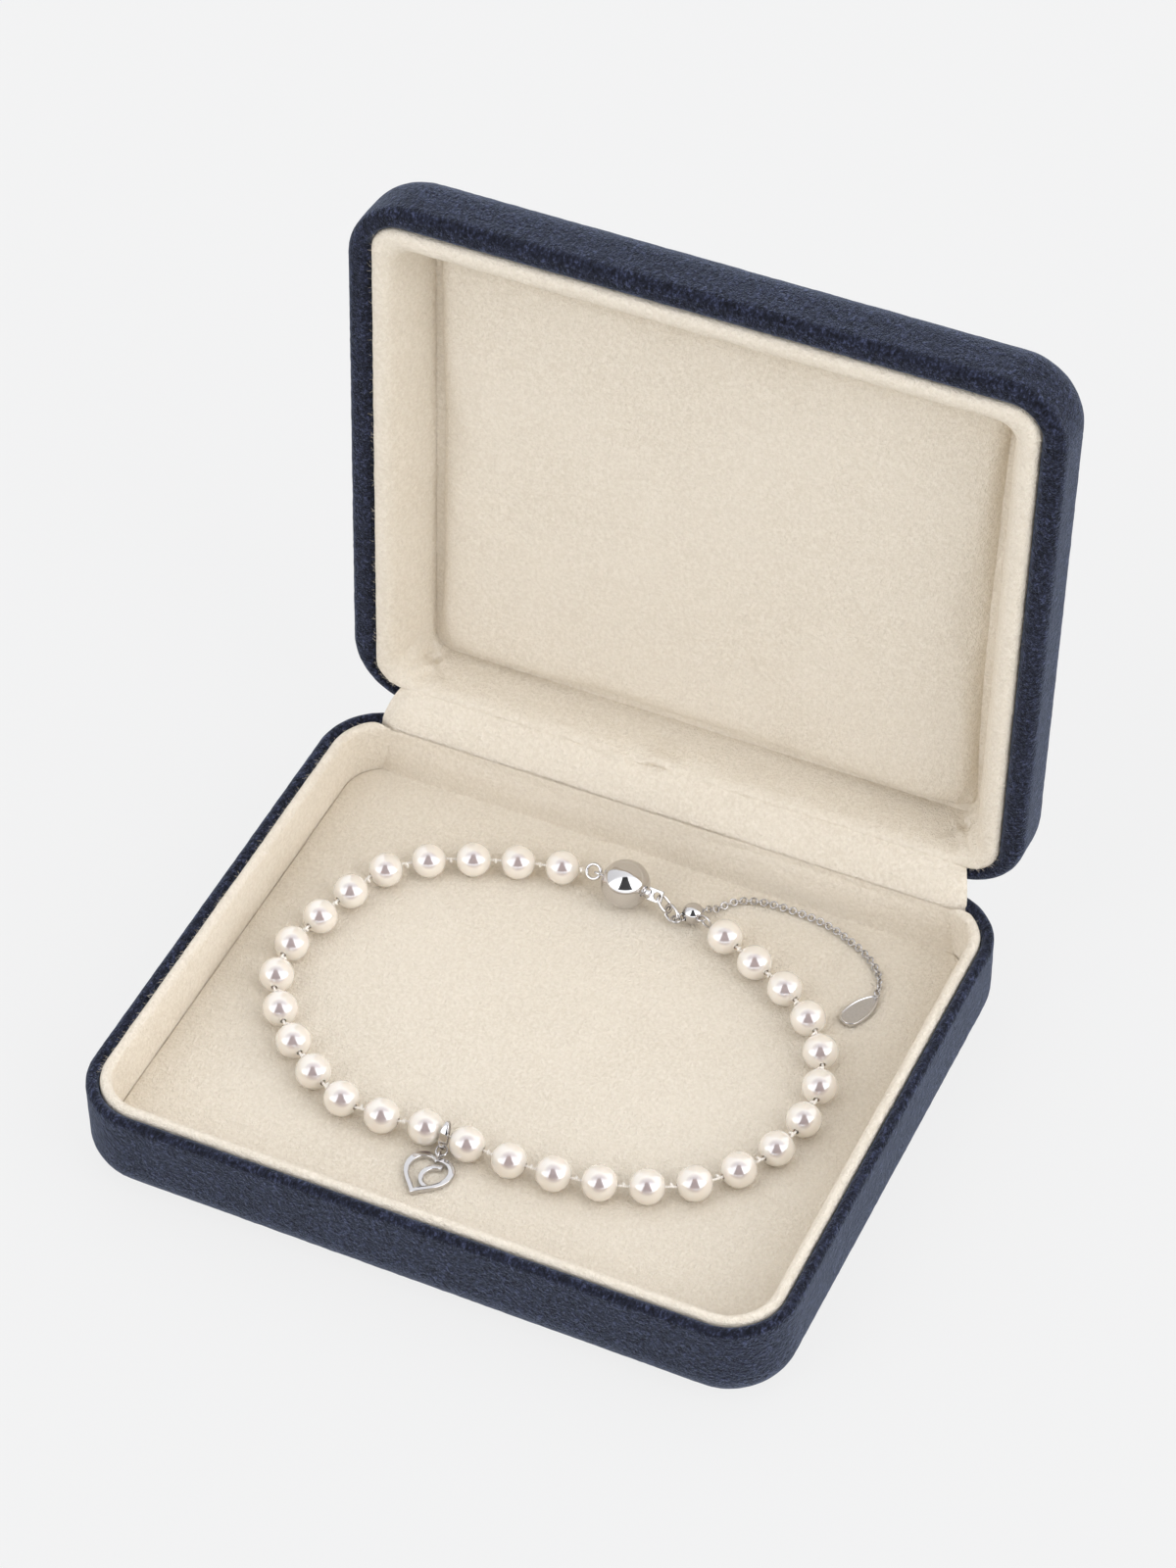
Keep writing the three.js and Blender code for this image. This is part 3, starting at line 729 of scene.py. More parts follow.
# ---- the box ---------------------------------------------------------------------------
SURFACE_STEP = 0.8 * MM      # between the rings up a wall that shows
HIDDEN_STEP = 3 * MM         # between the rings up a wall behind the lining
BOARD_T = 2.2 * MM           # thickness of the base's floor and of the lid's top
LEAST_CORNER = 1.5 * MM      # smallest corner radius of a shell's ring
LID_RIM = 1.5 * MM           # rounding of the lid's rim
LID_INNER_R = 4.6 * MM       # corner radius inside the lid
LID_BACK_CUT = 1.1 * MM      # how much thinner the lid's wall is on the hinge's side
LID_CROWN = 0.2 * MM         # how far the lid's top bulges in the middle


def base_shell_rings(edge, wall):
    """Rings from the middle of the underside, up the sides, over the rim and down inside."""
    rim = wall / 2
    inner_edge = edge - wall
    rows = [(edge + 6 * MM, 0.0), (edge + 1 * MM, 0.0)]
    rows += arc(edge, edge, edge, -90, 0, 12)
    rows += [(0.0, z) for z in spaced(edge, BASE_H - rim, SURFACE_STEP)]
    rows += arc(rim, BASE_H - rim, rim, 0, 180, 12)
    rows += [(wall, z) for z in spaced(BASE_H - rim, BOARD_T + inner_edge, HIDDEN_STEP)]
    rows += arc(edge, BOARD_T + inner_edge, inner_edge, 0, -90, 4)
    return [plan_ring(inset, z, radius=max(PLAN_R - inset, LEAST_CORNER)) for inset, z in rows]


def lid_shell_rings(edge, wall):
    """Rings of the closed lid, from its top, down the sides and the rim, and up inside."""
    top = RIM_Z + LID_H
    ceiling = top - BOARD_T
    rim_z = RIM_Z + LID_RIM
    outer = [(edge + 14 * MM, top + LID_CROWN), (edge + 6 * MM, top + LID_CROWN / 2),
             (edge + 1 * MM, top)]
    outer += arc(edge, top - edge, edge, 90, 0, 12)
    outer += [(0.0, z) for z in spaced(top - edge, rim_z, SURFACE_STEP)]
    outer += arc(LID_RIM, rim_z, LID_RIM, 0, -90, 6)
    inner = arc(wall - LID_RIM, rim_z, LID_RIM, -90, -180, 6)
    inner += [(wall, z) for z in spaced(rim_z, ceiling, HIDDEN_STEP)]
    inner.append((wall, ceiling))
    rings = [plan_ring(inset, z, radius=max(PLAN_R - inset, LEAST_CORNER))
             for inset, z in outer]
    for inset, z in inner:
        share = max(0.0, (inset - (wall - LID_RIM)) / LID_RIM)
        radius = PLAN_R - inset + (LID_INNER_R - (PLAN_R - wall)) * share
        rings.append(plan_ring(inset, z, radius=max(radius, LEAST_CORNER),
                               back=inset - LID_BACK_CUT))
    return rings


class ANKLET_OT_base_shell(bpy.types.Operator):
    """Make the suede-covered base of the box"""
    bl_idname = "anklet.base_shell"
    bl_label = "Base shell"

    def execute(self, context):
        settings = context.scene.anklet_box
        shell = stack("base_cover", base_shell_rings(settings.base_edge, settings.base_wall))
        ruffle(shell, 2.6 * MM, 0.10 * MM, "base suede swell")
        ruffle(shell, 0.6 * MM, 0.10 * MM, "base suede fibres")
        finish_piece(shell, "base", suede_material(settings), ["base_shell"])
        return {"FINISHED"}


class ANKLET_OT_lid_shell(bpy.types.Operator):
    """Make the suede-covered lid of the box"""
    bl_idname = "anklet.lid_shell"
    bl_label = "Lid shell"

    def execute(self, context):
        settings = context.scene.anklet_box
        shell = stack("lid_cover", lid_shell_rings(settings.lid_edge, settings.lid_wall))
        open_lid(shell)
        ruffle(shell, 2.6 * MM, 0.12 * MM, "lid suede swell")
        ruffle(shell, 0.6 * MM, 0.10 * MM, "lid suede fibres")
        finish_piece(shell, "lid", suede_material(settings), ["lid_shell"])
        return {"FINISHED"}


LINING_OUT = 2.2 * MM        # inset of the roll's outer face, just inside the rim
LINING_T = 1.9 * MM          # thickness of the roll
LINING_TOP = 0.15 * MM       # how far the roll stands above the rim
LINING_FOOT = 5.6 * MM       # height of the roll's foot, beside the pad
LINING_STRAIGHT = 6.2 * MM   # height from which its two faces are upright
FOOT_ROUND = 0.2 * MM        # how much the foot narrows on each side
LINING_END = 45.1 * MM       # y at which the roll stops on both sides of the hinge

PAD_INSET = 4.13 * MM
PAD_LOW = 2.6 * MM           # height of the pad's underside
PAD_SLANT = 1.8 * MM         # bevel round the underside
PAD_ROUND = 0.4 * MM         # rounding of the upper edge
PAD_RISE = 0.12 * MM         # how far the pad's middle stands above its edge
PAD_CORNER = 3.4 * MM        # smallest corner radius of the pad's rings
TOP_STEP = 1.2 * MM          # between the rings over the top of a pad


def roll_rings():
    """Rings of the base's rolled lining, up its outer face and down its inner one."""
    half = LINING_T / 2
    inner = LINING_OUT + LINING_T
    top = BASE_H + LINING_TOP - half
    rows = [(LINING_OUT + FOOT_ROUND, LINING_FOOT), (LINING_OUT, LINING_STRAIGHT)]
    rows += [(LINING_OUT, z) for z in spaced(LINING_STRAIGHT, top, SURFACE_STEP)]
    rows += arc(LINING_OUT + half, top, half, 0, 180, 10)
    rows += [(inner, z) for z in spaced(top, LINING_STRAIGHT, SURFACE_STEP)]
    rows += [(inner, LINING_STRAIGHT), (inner - FOOT_ROUND, LINING_FOOT)]
    rows.append(rows[0])
    return [plan_ring(inset, z) for inset, z in rows]


def pad_rings():
    """Rings of the flat pad, from its underside, up its edge and in over the top."""
    rows = [(PAD_INSET + PAD_SLANT, PAD_LOW), (PAD_INSET, PAD_LOW + PAD_SLANT)]
    rows += [(PAD_INSET, z)
             for z in spaced(PAD_LOW + PAD_SLANT, PAD_TOP - PAD_ROUND, SURFACE_STEP)]
    rows += arc(PAD_INSET + PAD_ROUND, PAD_TOP - PAD_ROUND, PAD_ROUND, 0, 90, 7)
    rows += [(PAD_INSET + PAD_ROUND + TOP_STEP * k, PAD_TOP + PAD_RISE * min(1.0, k / 8))
             for k in range(1, 34)]
    return [plan_ring(inset, z, radius=max(PLAN_R - inset, PAD_CORNER), coarse=2)
            for inset, z in rows]


class ANKLET_OT_base_lining(bpy.types.Operator):
    """Make the rolled lining round the base and the pad inside it"""
    bl_idname = "anklet.base_lining"
    bl_label = "Base lining and pad"

    def execute(self, context):
        cloth = lining_material(context.scene.anklet_box)
        lining = stack("base_lining_roll", roll_rings())
        self.open_at_hinge(lining)
        outward(lining)
        ruffle(lining, 2.2 * MM, 0.12 * MM, "roll swell")
        ruffle(lining, 0.5 * MM, 0.13 * MM, "roll fibres")
        finish_piece(lining, "base", cloth, ["base_lining"])

        pad = stack("base_cushion", pad_rings())
        ruffle(pad, 16 * MM, 0.25 * MM, "pad swell")
        finish_piece(pad, "base", cloth, ["base_pad"])
        return {"FINISHED"}

    def open_at_hinge(self, lining):
        """Joins the roll's last ring to its first, then cuts it open next to the hinge."""
        # The last ring lies on the first, so the two caps go and the rings are merged.
        mesh = begin_edit(lining)
        for face in mesh.faces:
            face.select_set(len(face.verts) > 4)
        bmesh.update_edit_mesh(lining.data)
        bpy.ops.mesh.delete(type="ONLY_FACE")
        bpy.ops.mesh.select_all(action="SELECT")
        bpy.ops.mesh.remove_doubles(threshold=MERGE_DISTANCE)
        bpy.ops.mesh.select_all(action="SELECT")
        bpy.ops.mesh.bisect(plane_co=(0, LINING_END, 0), plane_no=(0, 1, 0), use_fill=False,
                            clear_outer=True)
        for sign in (-1, 1):
            bpy.ops.mesh.select_all(action="DESELECT")
            mesh = bmesh.from_edit_mesh(lining.data)
            for edge in mesh.edges:
                edge.select_set(edge.is_boundary and edge.verts[0].co.x * sign > 0)
            bmesh.update_edit_mesh(lining.data)
            bpy.ops.mesh.edge_face_add()
        bpy.ops.object.mode_set(mode="OBJECT")


# The lid lining's profile, in mm: (inset at the sides and front, inset at the hinge's side,
# depth into the lid from its rim).
LID_LINING_ROWS = [
    (4.15, 3.15, 1.6), (4.3, 3.25, 0.5), (4.9, 3.6, -0.15), (5.8, 4.1, -0.3), (6.7, 4.6, -0.05),
    (7.5, 5.0, 0.7), (8.0, 5.25, 1.8), (8.7, 5.4, 3.4), (9.4, 5.5, 5.2), (10.0, 5.6, 7.0),
    (10.4, 5.7, 8.6), (10.7, 5.8, 10.0),
]
LID_LINING_DEEP = 10.6 * MM  # how deep the lining's outer face goes
CUSHION_FACE = 7.9 * MM      # depth of the cushion's face
CUSHION_SIDE = 9.6 * MM      # the cushion's inset at the sides and front
CUSHION_BACK = 5.2 * MM      # and at the hinge's side
CUSHION_ROUND = 2.4 * MM     # rounding of the face's edge
CUSHION_RISE = 0.35 * MM     # how far the face stands out in the middle
CUSHION_SHRINK = 0.7 * MM    # how much smaller the cushion is before it is stuffed
CUSHION_SWELL = 0.9 * MM     # the most that stuffing may push it out

# Folds at the lid's right corner next to the hinge, mirrored for the left one, in mm: the
# two ends as (x, y, depth into the lid), the width, and how far the fold stands out.
CORNER_FOLDS = [
    ((51.5, 44.3, 0.0), (47.9, 42.4, 8.0), 1.1, 0.8),
    ((50.6, 42.6, 1.6), (47.0, 40.4, 7.6), 1.2, -0.45),
    ((49.4, 44.0, 1.8), (45.2, 43.7, 7.6), 1.2, -0.45),
    ((47.2, 43.9, 7.6), (43.6, 44.2, 3.4), 1.0, 0.6),
    ((50.3, 40.4, 3.0), (49.2, 37.4, 7.4), 1.0, 0.55),
]
# Puckers at the cushion's corners next to the hinge, in mm: (x towards the middle, y, reach,
# depth).
PUCKERS = [(0.6, -0.6, 2.2, 1.0), (3.6, 0.4, 2.4, 0.5), (-0.4, -4.2, 2.6, 0.7)]
# Waves in the lining's edge over the hinge, in mm: (x, how far it moves back).
EDGE_WAVES = [(-8.0, 0.3), (-3.5, -0.8), (2.5, 0.5)]


def lid_lining_rings():
    """Rings of the closed lid's lining, down its outer face, round the rim and up inside."""
    side, back, depth = LID_LINING_ROWS[0]
    deepest = RIM_Z + LID_LINING_DEEP
    levels = [deepest] + spaced(deepest, RIM_Z + depth * MM, 1.2 * MM)
    rings = [plan_ring(side * MM, z, radius=LID_INNER_R, back=back * MM) for z in levels]
    for inset, back, depth in smooth_rows(LID_LINING_ROWS, 4):
        radius = LID_INNER_R - 0.18 * (inset - side) * MM
        rings.append(plan_ring(inset * MM, RIM_Z + depth * MM, radius=radius, back=back * MM))
    return rings


def cushion_rings(shrink):
    """Rings of the closed lid's cushion, from its hidden back round its edge to its face."""
    side, back = CUSHION_SIDE + shrink, CUSHION_BACK + shrink
    face = RIM_Z + CUSHION_FACE + shrink
    turn_z = face + CUSHION_ROUND
    rows = [(0.0, RIM_Z + LID_H - 2.6 * MM), (0.0, turn_z + 0.6 * MM)]
    rows += [(inset + CUSHION_ROUND, z)
             for inset, z in arc(0, turn_z, CUSHION_ROUND, 0, -90, 9)]
    for k in range(1, 31):
        rise = CUSHION_RISE * (1 - (1 - min(1.0, k / 22)) ** 2)
        rows.append((CUSHION_ROUND + TOP_STEP * k, face - rise))
    return [plan_ring(side + inset, z, radius=max(3.0 * MM - inset * 0.3, 2.0 * MM),
                      back=back + inset, coarse=2) for inset, z in rows]


class ANKLET_OT_lid_lining(bpy.types.Operator):
    """Make the padded lining of the lid and the cushion inside it"""
    bl_idname = "anklet.lid_lining"
    bl_label = "Lid lining and cushion"

    def execute(self, context):
        cloth = lining_material(context.scene.anklet_box)
        lining = stack("lid_lining_cloth", lid_lining_rings())
        self.folds(lining)
        open_lid(lining)
        ruffle(lining, 5 * MM, 0.22 * MM, "lid lining swell")
        ruffle(lining, 0.5 * MM, 0.12 * MM, "lid lining fibres")
        finish_piece(lining, "lid", cloth, ["lid_lining"])

        shrink = CUSHION_SHRINK
        cushion = stack("lid_cushion_pad", cushion_rings(shrink))
        swell(cushion, 2.0 * MM, CUSHION_SWELL)
        self.dimples(cushion)
        open_lid(cushion)
        ruffle(cushion, 14 * MM, 0.35 * MM, "cushion swell")
        finish_piece(cushion, "lid", cloth, ["lid_cushion"])
        return {"FINISHED"}

    def folds(self, lining):
        """Waves over the hinge, and creases where the cloth turns the corners beside it."""
        for x, move in EDGE_WAVES:
            push(lining, Vector((x * MM, HALF_D - 4.1 * MM, RIM_Z - 0.2 * MM)), 3.6 * MM,
                 Vector((0, move * MM, 0)))
        y = HALF_D - 6.5 * MM
        for sign in (-1, 1):
            x = sign * (HALF_W - 9.5 * MM)
            push(lining, Vector((x, y - 1.5 * MM, RIM_Z + 4.6 * MM)), 3.2 * MM,
                 Vector((0, -0.5 * MM, -0.7 * MM)))
            push(lining, Vector((x - sign * 2.5 * MM, y, RIM_Z + 6.2 * MM)), 2.0 * MM,
                 Vector((0, 0.5 * MM, 0.6 * MM)))
            for (x1, y1, d1), (x2, y2, d2), width, deep in CORNER_FOLDS:
                crease(lining, Vector((sign * x1 * MM, y1 * MM, RIM_Z + d1 * MM)),
                       Vector((sign * x2 * MM, y2 * MM, RIM_Z + d2 * MM)), width * MM,
                       Vector((sign * 0.7, 0.7, 0)) * deep * MM)

    def dimples(self, cushion):
        """Puckers where the cushion's cloth is gathered at the corners beside the hinge."""
        for sign in (-1, 1):
            corner = Vector((sign * (HALF_W - 12.4 * MM), HALF_D - 8.2 * MM,
                             RIM_Z + CUSHION_FACE))
            for x, y, reach, depth in PUCKERS:
                push(cushion, corner + Vector((-sign * x * MM, y * MM, 0)), reach * MM,
                     Vector((0, 0, depth * MM)), Vector((0.6, 1.3, 1.0)))


FLAP_HALF = 51.6 * MM        # half the flap's width
FLAP_T = 0.5 * MM
FLAP_NARROW = 2.6 * MM
FLAP_SAG = 0.35 * MM
FLAP_TURN = 0.9 * MM         # how far its sides turn back
FLAP_ACROSS, FLAP_ROWS = 170, 44
FLAP_WAIST = 0.55            # share of its length from which the flap narrows
FLAP_EDGE = 0.965            # share of its half width from which its sides turn back
# The flap's line from the pad, over the base's rim, to the lid's lining: (y, z) in mm.
FLAP_LINE = [(44.35, 6.3), (44.75, 7.3), (45.0, 9.0), (45.25, 11.4), (45.6, 13.8),
             (46.15, 15.7), (46.9, 17.3), (47.8, 18.7), (48.7, 19.7), (49.5, 20.3),
             (50.4, 20.8), (51.3, 21.2)]
# Waves where its upper edge was tucked in, left of the middle, in mm: (x, rise).
TUCKS = [(-10.5, 0.7), (-6.0, -0.5), (-1.0, 0.35)]


class ANKLET_OT_hinge(bpy.types.Operator):
    """Make the cloth flap over the hinge and finish the hinge rod"""
    bl_idname = "anklet.hinge"
    bl_label = "Hinge flap"

    def execute(self, context):
        line = [Vector((0, y * MM, z * MM)) for y, z in smooth_rows(FLAP_LINE, 8)]
        stations = evenly(line, 0.3 * MM)
        flap = self.draped(stations)
        self.tuck(flap)
        apply_modifier(flap, "SOLIDIFY", thickness=FLAP_T, offset=1.0)
        outward(flap)
        ruffle(flap, 0.5 * MM, 0.06 * MM, "flap fibres")
        flap.data.materials.append(lining_material(context.scene.anklet_box))
        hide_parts("hinge_flap")
        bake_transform(flap)
        rod = frame["nodes"]["hinge_rod"]
        rod.data.materials.clear()
        rod.data.materials.append(
            silver_material(context.scene.anklet_jewel, "Hinge steel", 0.3, satin=True))
        return {"FINISHED"}

    def draped(self, stations):
        """A grid laid along the flap's line, narrower towards the lid, with a slight sag."""
        deselect()
        bpy.ops.mesh.primitive_grid_add(x_subdivisions=FLAP_ACROSS, y_subdivisions=FLAP_ROWS,
                                        size=2)
        flap = bpy.context.object
        for vertex in flap.data.vertices:
            u = vertex.co.x
            t = (vertex.co.y + 1) / 2
            at = t * (len(stations) - 1)
            k = min(int(at), len(stations) - 2)
            point = stations[k].lerp(stations[k + 1], at - k)
            narrow = FLAP_NARROW * max(0.0, t - FLAP_WAIST) ** 1.5 / 0.3
            sag = FLAP_SAG * math.sin(math.pi * t) * noise.noise(Vector((u * 3, t * 1.5, 2.0)))
            turned = FLAP_TURN * max(0.0, abs(u) - FLAP_EDGE) / (1 - FLAP_EDGE)
            vertex.co = Vector((u * (FLAP_HALF - narrow), point.y - sag + turned * (0.4 + t),
                                point.z + sag * 0.5))
        return named(flap, "hinge_flap_cloth")

    def tuck(self, flap):
        """A shallow wave where the cloth was tucked under the lid's lining."""
        for x, rise in TUCKS:
            push(flap, Vector((x * MM, 50.0 * MM, 20.6 * MM)), 4.5 * MM,
                 Vector((0, -0.25 * MM, rise * MM)), Vector((1.0, 0.7, 0.7)))


class ANKLET_OT_fibres(bpy.types.Operator):
    """Scatter loose lining fibres along both rims"""
    bl_idname = "anklet.fibres"
    bl_label = "Loose fibres"

    def execute(self, context):
        settings = context.scene.anklet_box
        cloth = lining_material(settings)
        random.seed(11)
        ring = plan_ring(LINING_OUT + 0.4 * MM, BASE_H + 0.05 * MM)
        base = self.scatter("base_fibres", ring, UP, settings.fibres, 44 * MM)
        finish_piece(base, "base", cloth)
        ring = plan_ring(4.5 * MM, RIM_Z + 0.15 * MM, radius=4.4 * MM, back=3.4 * MM)
        lid = self.scatter("lid_fibres", ring, -UP, settings.fibres, HALF_D)
        open_lid(lid)
        finish_piece(lid, "lid", cloth)
        return {"FINISHED"}

    def fibre(self):
        """A tapered bar of unit length along Z, with a joint in the middle to bend at."""
        deselect()
        bpy.ops.mesh.primitive_cone_add(vertices=4, radius1=0.5, radius2=0.12, depth=1,
                                        location=(0, 0, 0.5))
        bpy.ops.object.transform_apply(location=True, rotation=True, scale=True)
        begin_edit(bpy.context.object)
        bpy.ops.mesh.select_all(action="SELECT")
        bpy.ops.mesh.subdivide(number_cuts=1)
        bpy.ops.object.mode_set(mode="OBJECT")
        return bpy.context.object

    def scatter(self, name, ring, out, count, furthest):
        """Fibres that lean out of the cloth at random places on a ring, up to a y."""
        model = self.fibre()
        copies = []
        while len(copies) < count:
            i = random.randrange(len(ring))
            if ring[i].y > furthest:
                continue
            along = (ring[(i + 1) % len(ring)] - ring[i - 1]).normalized()
            outwards = along.cross(UP)
            lean = (outwards * random.uniform(0.5, 1.3) + out * random.uniform(-0.1, 0.2)
                    + along * random.uniform(-0.9, 0.9)).normalized()
            length = random.uniform(0.35, 0.85) * MM
            thick = random.uniform(0.03, 0.06) * MM
            start = ring[i] + outwards * random.uniform(-0.2, 0.25) * MM
            bend = out * random.uniform(-0.3, 0.0) * length
            x = lean.orthogonal().normalized()
            matrix = Matrix((x * thick, lean.cross(x) * thick, lean * length))
            matrix = matrix.transposed().to_4x4()
            copy = bpy.data.objects.new(name, model.data.copy())
            for vertex in copy.data.vertices:
                vertex.co = matrix @ vertex.co + bend * vertex.co.z ** 2
            copy.data.transform(Matrix.Translation(start))
            bpy.context.scene.collection.objects.link(copy)
            copies.append(copy)
        bpy.data.objects.remove(model)
        fibres = join(name, *copies)
        outward(fibres)
        return fibres


# ---- the strand of pearls --------------------------------------------------------------
PEARL_NAMES = [f"pearl_{i + 1:02d}" for i in range(PEARL_COUNT)]
PEARL_AT = [sum(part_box(name), Vector((0, 0, 0))) / 2 for name in PEARL_NAMES]
PEARL_SIZES = (0.985, 1.0)           # shares of the full radius
PEARL_STRETCHES = (-0.012, 0.006)    # how much longer than wide, as a share
PEARL_UNEVEN = 0.008                 # how far from round, as a share
BORE_R = 0.5 * MM
THREAD_R = 0.2 * MM


def strand_direction(i):
    a = PEARL_AT[max(i - 1, 0)]
    b = PEARL_AT[min(i + 1, PEARL_COUNT - 1)]
    return (b - a).normalized()


class ANKLET_OT_pearls(bpy.types.Operator):
    """Make the pearls and the knotted thread they are strung on"""
    bl_idname = "anklet.pearls"
    bl_label = "Pearls and thread"

    def execute(self, context):
        settings = context.scene.anklet_jewel
        nacre = pearl_material(settings)
        model = ball("pearl_model", PEARL_R, Vector((0, 0, 0)), Vector((1, 0, 0)),
                     segments=48, rings=32, bore=BORE_R)
        random.seed(4)
        for i, (node, at) in enumerate(zip(PEARL_NAMES, PEARL_AT)):
            pearl = bpy.data.objects.new(f"nacre_{node}", model.data.copy())
            bpy.context.scene.collection.objects.link(pearl)
            size = random.uniform(*PEARL_SIZES)
            stretch = 1 + random.uniform(*PEARL_STRETCHES)
            seed = Vector((random.uniform(0, 50), 0, 0))
            for vertex in pearl.data.vertices:
                bulge = PEARL_UNEVEN * noise.noise(vertex.co.normalized() * 1.4 + seed)
                vertex.co *= size * (1 + bulge)
                vertex.co.x *= stretch
            pearl.data.transform(basis(at, strand_direction(i), UP))
            finish_piece(pearl, "base", nacre, [node])
        bpy.data.objects.remove(model)
        self.thread()
        return {"FINISHED"}

    def thread(self):
        """The thread from the clasp's ring through every pearl, with a knot in each gap."""
        first = strand_direction(0)
        line = [RING_AT - (RING_AT - PEARL_AT[0]).normalized() * 1.75 * MM]
        for i, at in enumerate(PEARL_AT):
            along = strand_direction(i)
            line += [at - along * PEARL_R, at + along * PEARL_R]
        parts = [tube("thread_line", line, THREAD_R)]
        knots = [((a + b) / 2, (b - a).normalized()) for a, b in zip(PEARL_AT, PEARL_AT[1:])]
        knots.append((line[0] + first * 0.4 * MM, first))
        for at, along in knots:
            across = along.cross(UP)
            parts.append(wire_ring("knot", 0.24 * MM, 0.24 * MM, THREAD_R, at, across, UP,
                                   segments=14, sides=8))
            parts.append(wire_ring("knot", 0.3 * MM, 0.2 * MM, 0.17 * MM,
                                   at + along * 0.12 * MM, across + along * 0.6, UP,
                                   segments=14, sides=8))
        thread = join("knotted_thread", *parts)
        finish_piece(thread, "base", silk_material(), ["thread"])


# ---- the clasp and its links -----------------------------------------------------------
CLASP_R = 4 * MM
CLASP_AT = Vector((-1.4 * MM, 33 * MM, REST_Z + CLASP_R))
CLASP_AXIS = Vector((1, -0.07, 0)).normalized()
FACING = Vector((0.07, 1, 0)).normalized()
WIRE = 0.28 * MM             # half the thickness of the clasp's rings and links
RING_R = 1.2 * MM            # the ring that the strand is tied to
RING_LEAN = Vector((0, 0.7, 0.7))
EYE_R = 0.8 * MM             # the clasp's eye
EYE_OUT = 0.65 * MM          # how far its middle stands off the ball
RING_AT = CLASP_AT - CLASP_AXIS * (CLASP_R + EYE_OUT + RING_R)
TONGUE_HOLE_AT = CLASP_AT + CLASP_AXIS * (CLASP_R + 2.1 * MM)
JOINT_AT = TONGUE_HOLE_AT + Vector((1.7, -0.2, -1.9)) * MM   # where the two links meet
SLIDER_R = 1.8 * MM
SLIDER_AT = Vector((10.3 * MM, 33.4 * MM, REST_Z + SLIDER_R))
SLIDER_AXIS = Vector((0.65, 0.76, 0)).normalized()
CHAIN_START = SLIDER_AT - SLIDER_AXIS * 3.0 * MM
HOOK = 0.42 * MM             # how much longer a link is than the places it joins are apart


class ANKLET_OT_clasp(bpy.types.Operator):
    """Make the ball clasp, its tongue and the links on both sides"""
    bl_idname = "anklet.clasp"
    bl_label = "Clasp"

    def execute(self, context):
        silver = silver_material(context.scene.anklet_jewel)
        ring = wire_ring("strand_ring_wire", RING_R, RING_R, WIRE, RING_AT, CLASP_AXIS,
                         RING_LEAN)
        finish_piece(ring, "base", silver, ["strand_ring"])

        body = ball("clasp_body", CLASP_R, CLASP_AT, CLASP_AXIS, 96, 64)
        eye = wire_ring("clasp_eye", EYE_R, EYE_R, WIRE,
                        CLASP_AT - CLASP_AXIS * (CLASP_R + EYE_OUT), CLASP_AXIS,
                        CLASP_AXIS.cross(RING_LEAN))
        clasp = join("clasp_globe", body, eye)
        finish_piece(clasp, "base", silver, ["clasp_ball"])

        plate = self.tongue_plate()
        root = self.tongue_root()
        tongue = join("clasp_tongue_plate", plate, root)
        finish_piece(tongue, "base", silver, ["clasp_tongue"])

        along = JOINT_AT - TONGUE_HOLE_AT
        half = (along.length + HOOK) / 2
        link = wire_ring("tongue_link_wire", half, 1 * MM, WIRE,
                         TONGUE_HOLE_AT + along.normalized() * half, along, FACING, 0.8)
        finish_piece(link, "base", silver, ["tongue_link"])

        along = CHAIN_START - JOINT_AT
        half = (along.length + HOOK) / 2
        big = wire_ring("clasp_ring_wire", half, 1.15 * MM, WIRE,
                        CHAIN_START - along.normalized() * half, along,
                        Vector((0.4, 0.3, 0.86)), 0.75)
        finish_piece(big, "base", silver, ["clasp_ring"])
        return {"FINISHED"}

    def tongue_plate(self):
        """A short plate with clipped corners and a hole for the link."""
        length, width, thick = 2.6 * MM, 2.2 * MM, 0.5 * MM
        deselect()
        bpy.ops.mesh.primitive_cube_add(size=1)
        plate = bpy.context.object
        for vertex in plate.data.vertices:
            vertex.co = Vector((vertex.co.x * length, vertex.co.y * width, vertex.co.z * thick))
        mesh = begin_edit(plate)
        for edge in mesh.edges:
            a, b = (v.co for v in edge.verts)
            edge.select_set(abs(a.z - b.z) > thick / 2 and a.x > 0)
        bmesh.update_edit_mesh(plate.data)
        bpy.ops.mesh.bevel(offset=0.45 * MM, segments=5)
        bpy.ops.object.mode_set(mode="OBJECT")
        deselect()
        bpy.ops.mesh.primitive_cylinder_add(vertices=32, radius=0.66 * MM, depth=2 * thick,
                                            location=(0.42 * MM, 0, 0))
        drill = bpy.context.object
        apply_modifier(plate, "BOOLEAN", object=drill, operation="DIFFERENCE", solver="EXACT")
        bpy.data.objects.remove(drill)
        soften(plate, 0.09 * MM)
        centre = CLASP_AT + CLASP_AXIS * (CLASP_R + 0.15 * MM + length / 2)
        plate.data.transform(basis(centre, CLASP_AXIS, Vector((0, 0.57, 0.82))))
        outward(plate, 35)
        return plate

    def tongue_root(self):
        """The collar where the plate goes into the ball."""
        deselect()
        bpy.ops.mesh.primitive_cylinder_add(vertices=40, radius=0.85 * MM, depth=0.9 * MM)
        root = bpy.context.object
        soften(root, 0.15 * MM)
        root.data.transform(basis(CLASP_AT + CLASP_AXIS * (CLASP_R + 0.2 * MM), CLASP_AXIS, UP)
                            @ POLES_ALONG)
        outward(root, 35)
        return root


# ---- the adjuster ----------------------------------------------------------------------
CHAIN_Z = 7.9 * MM
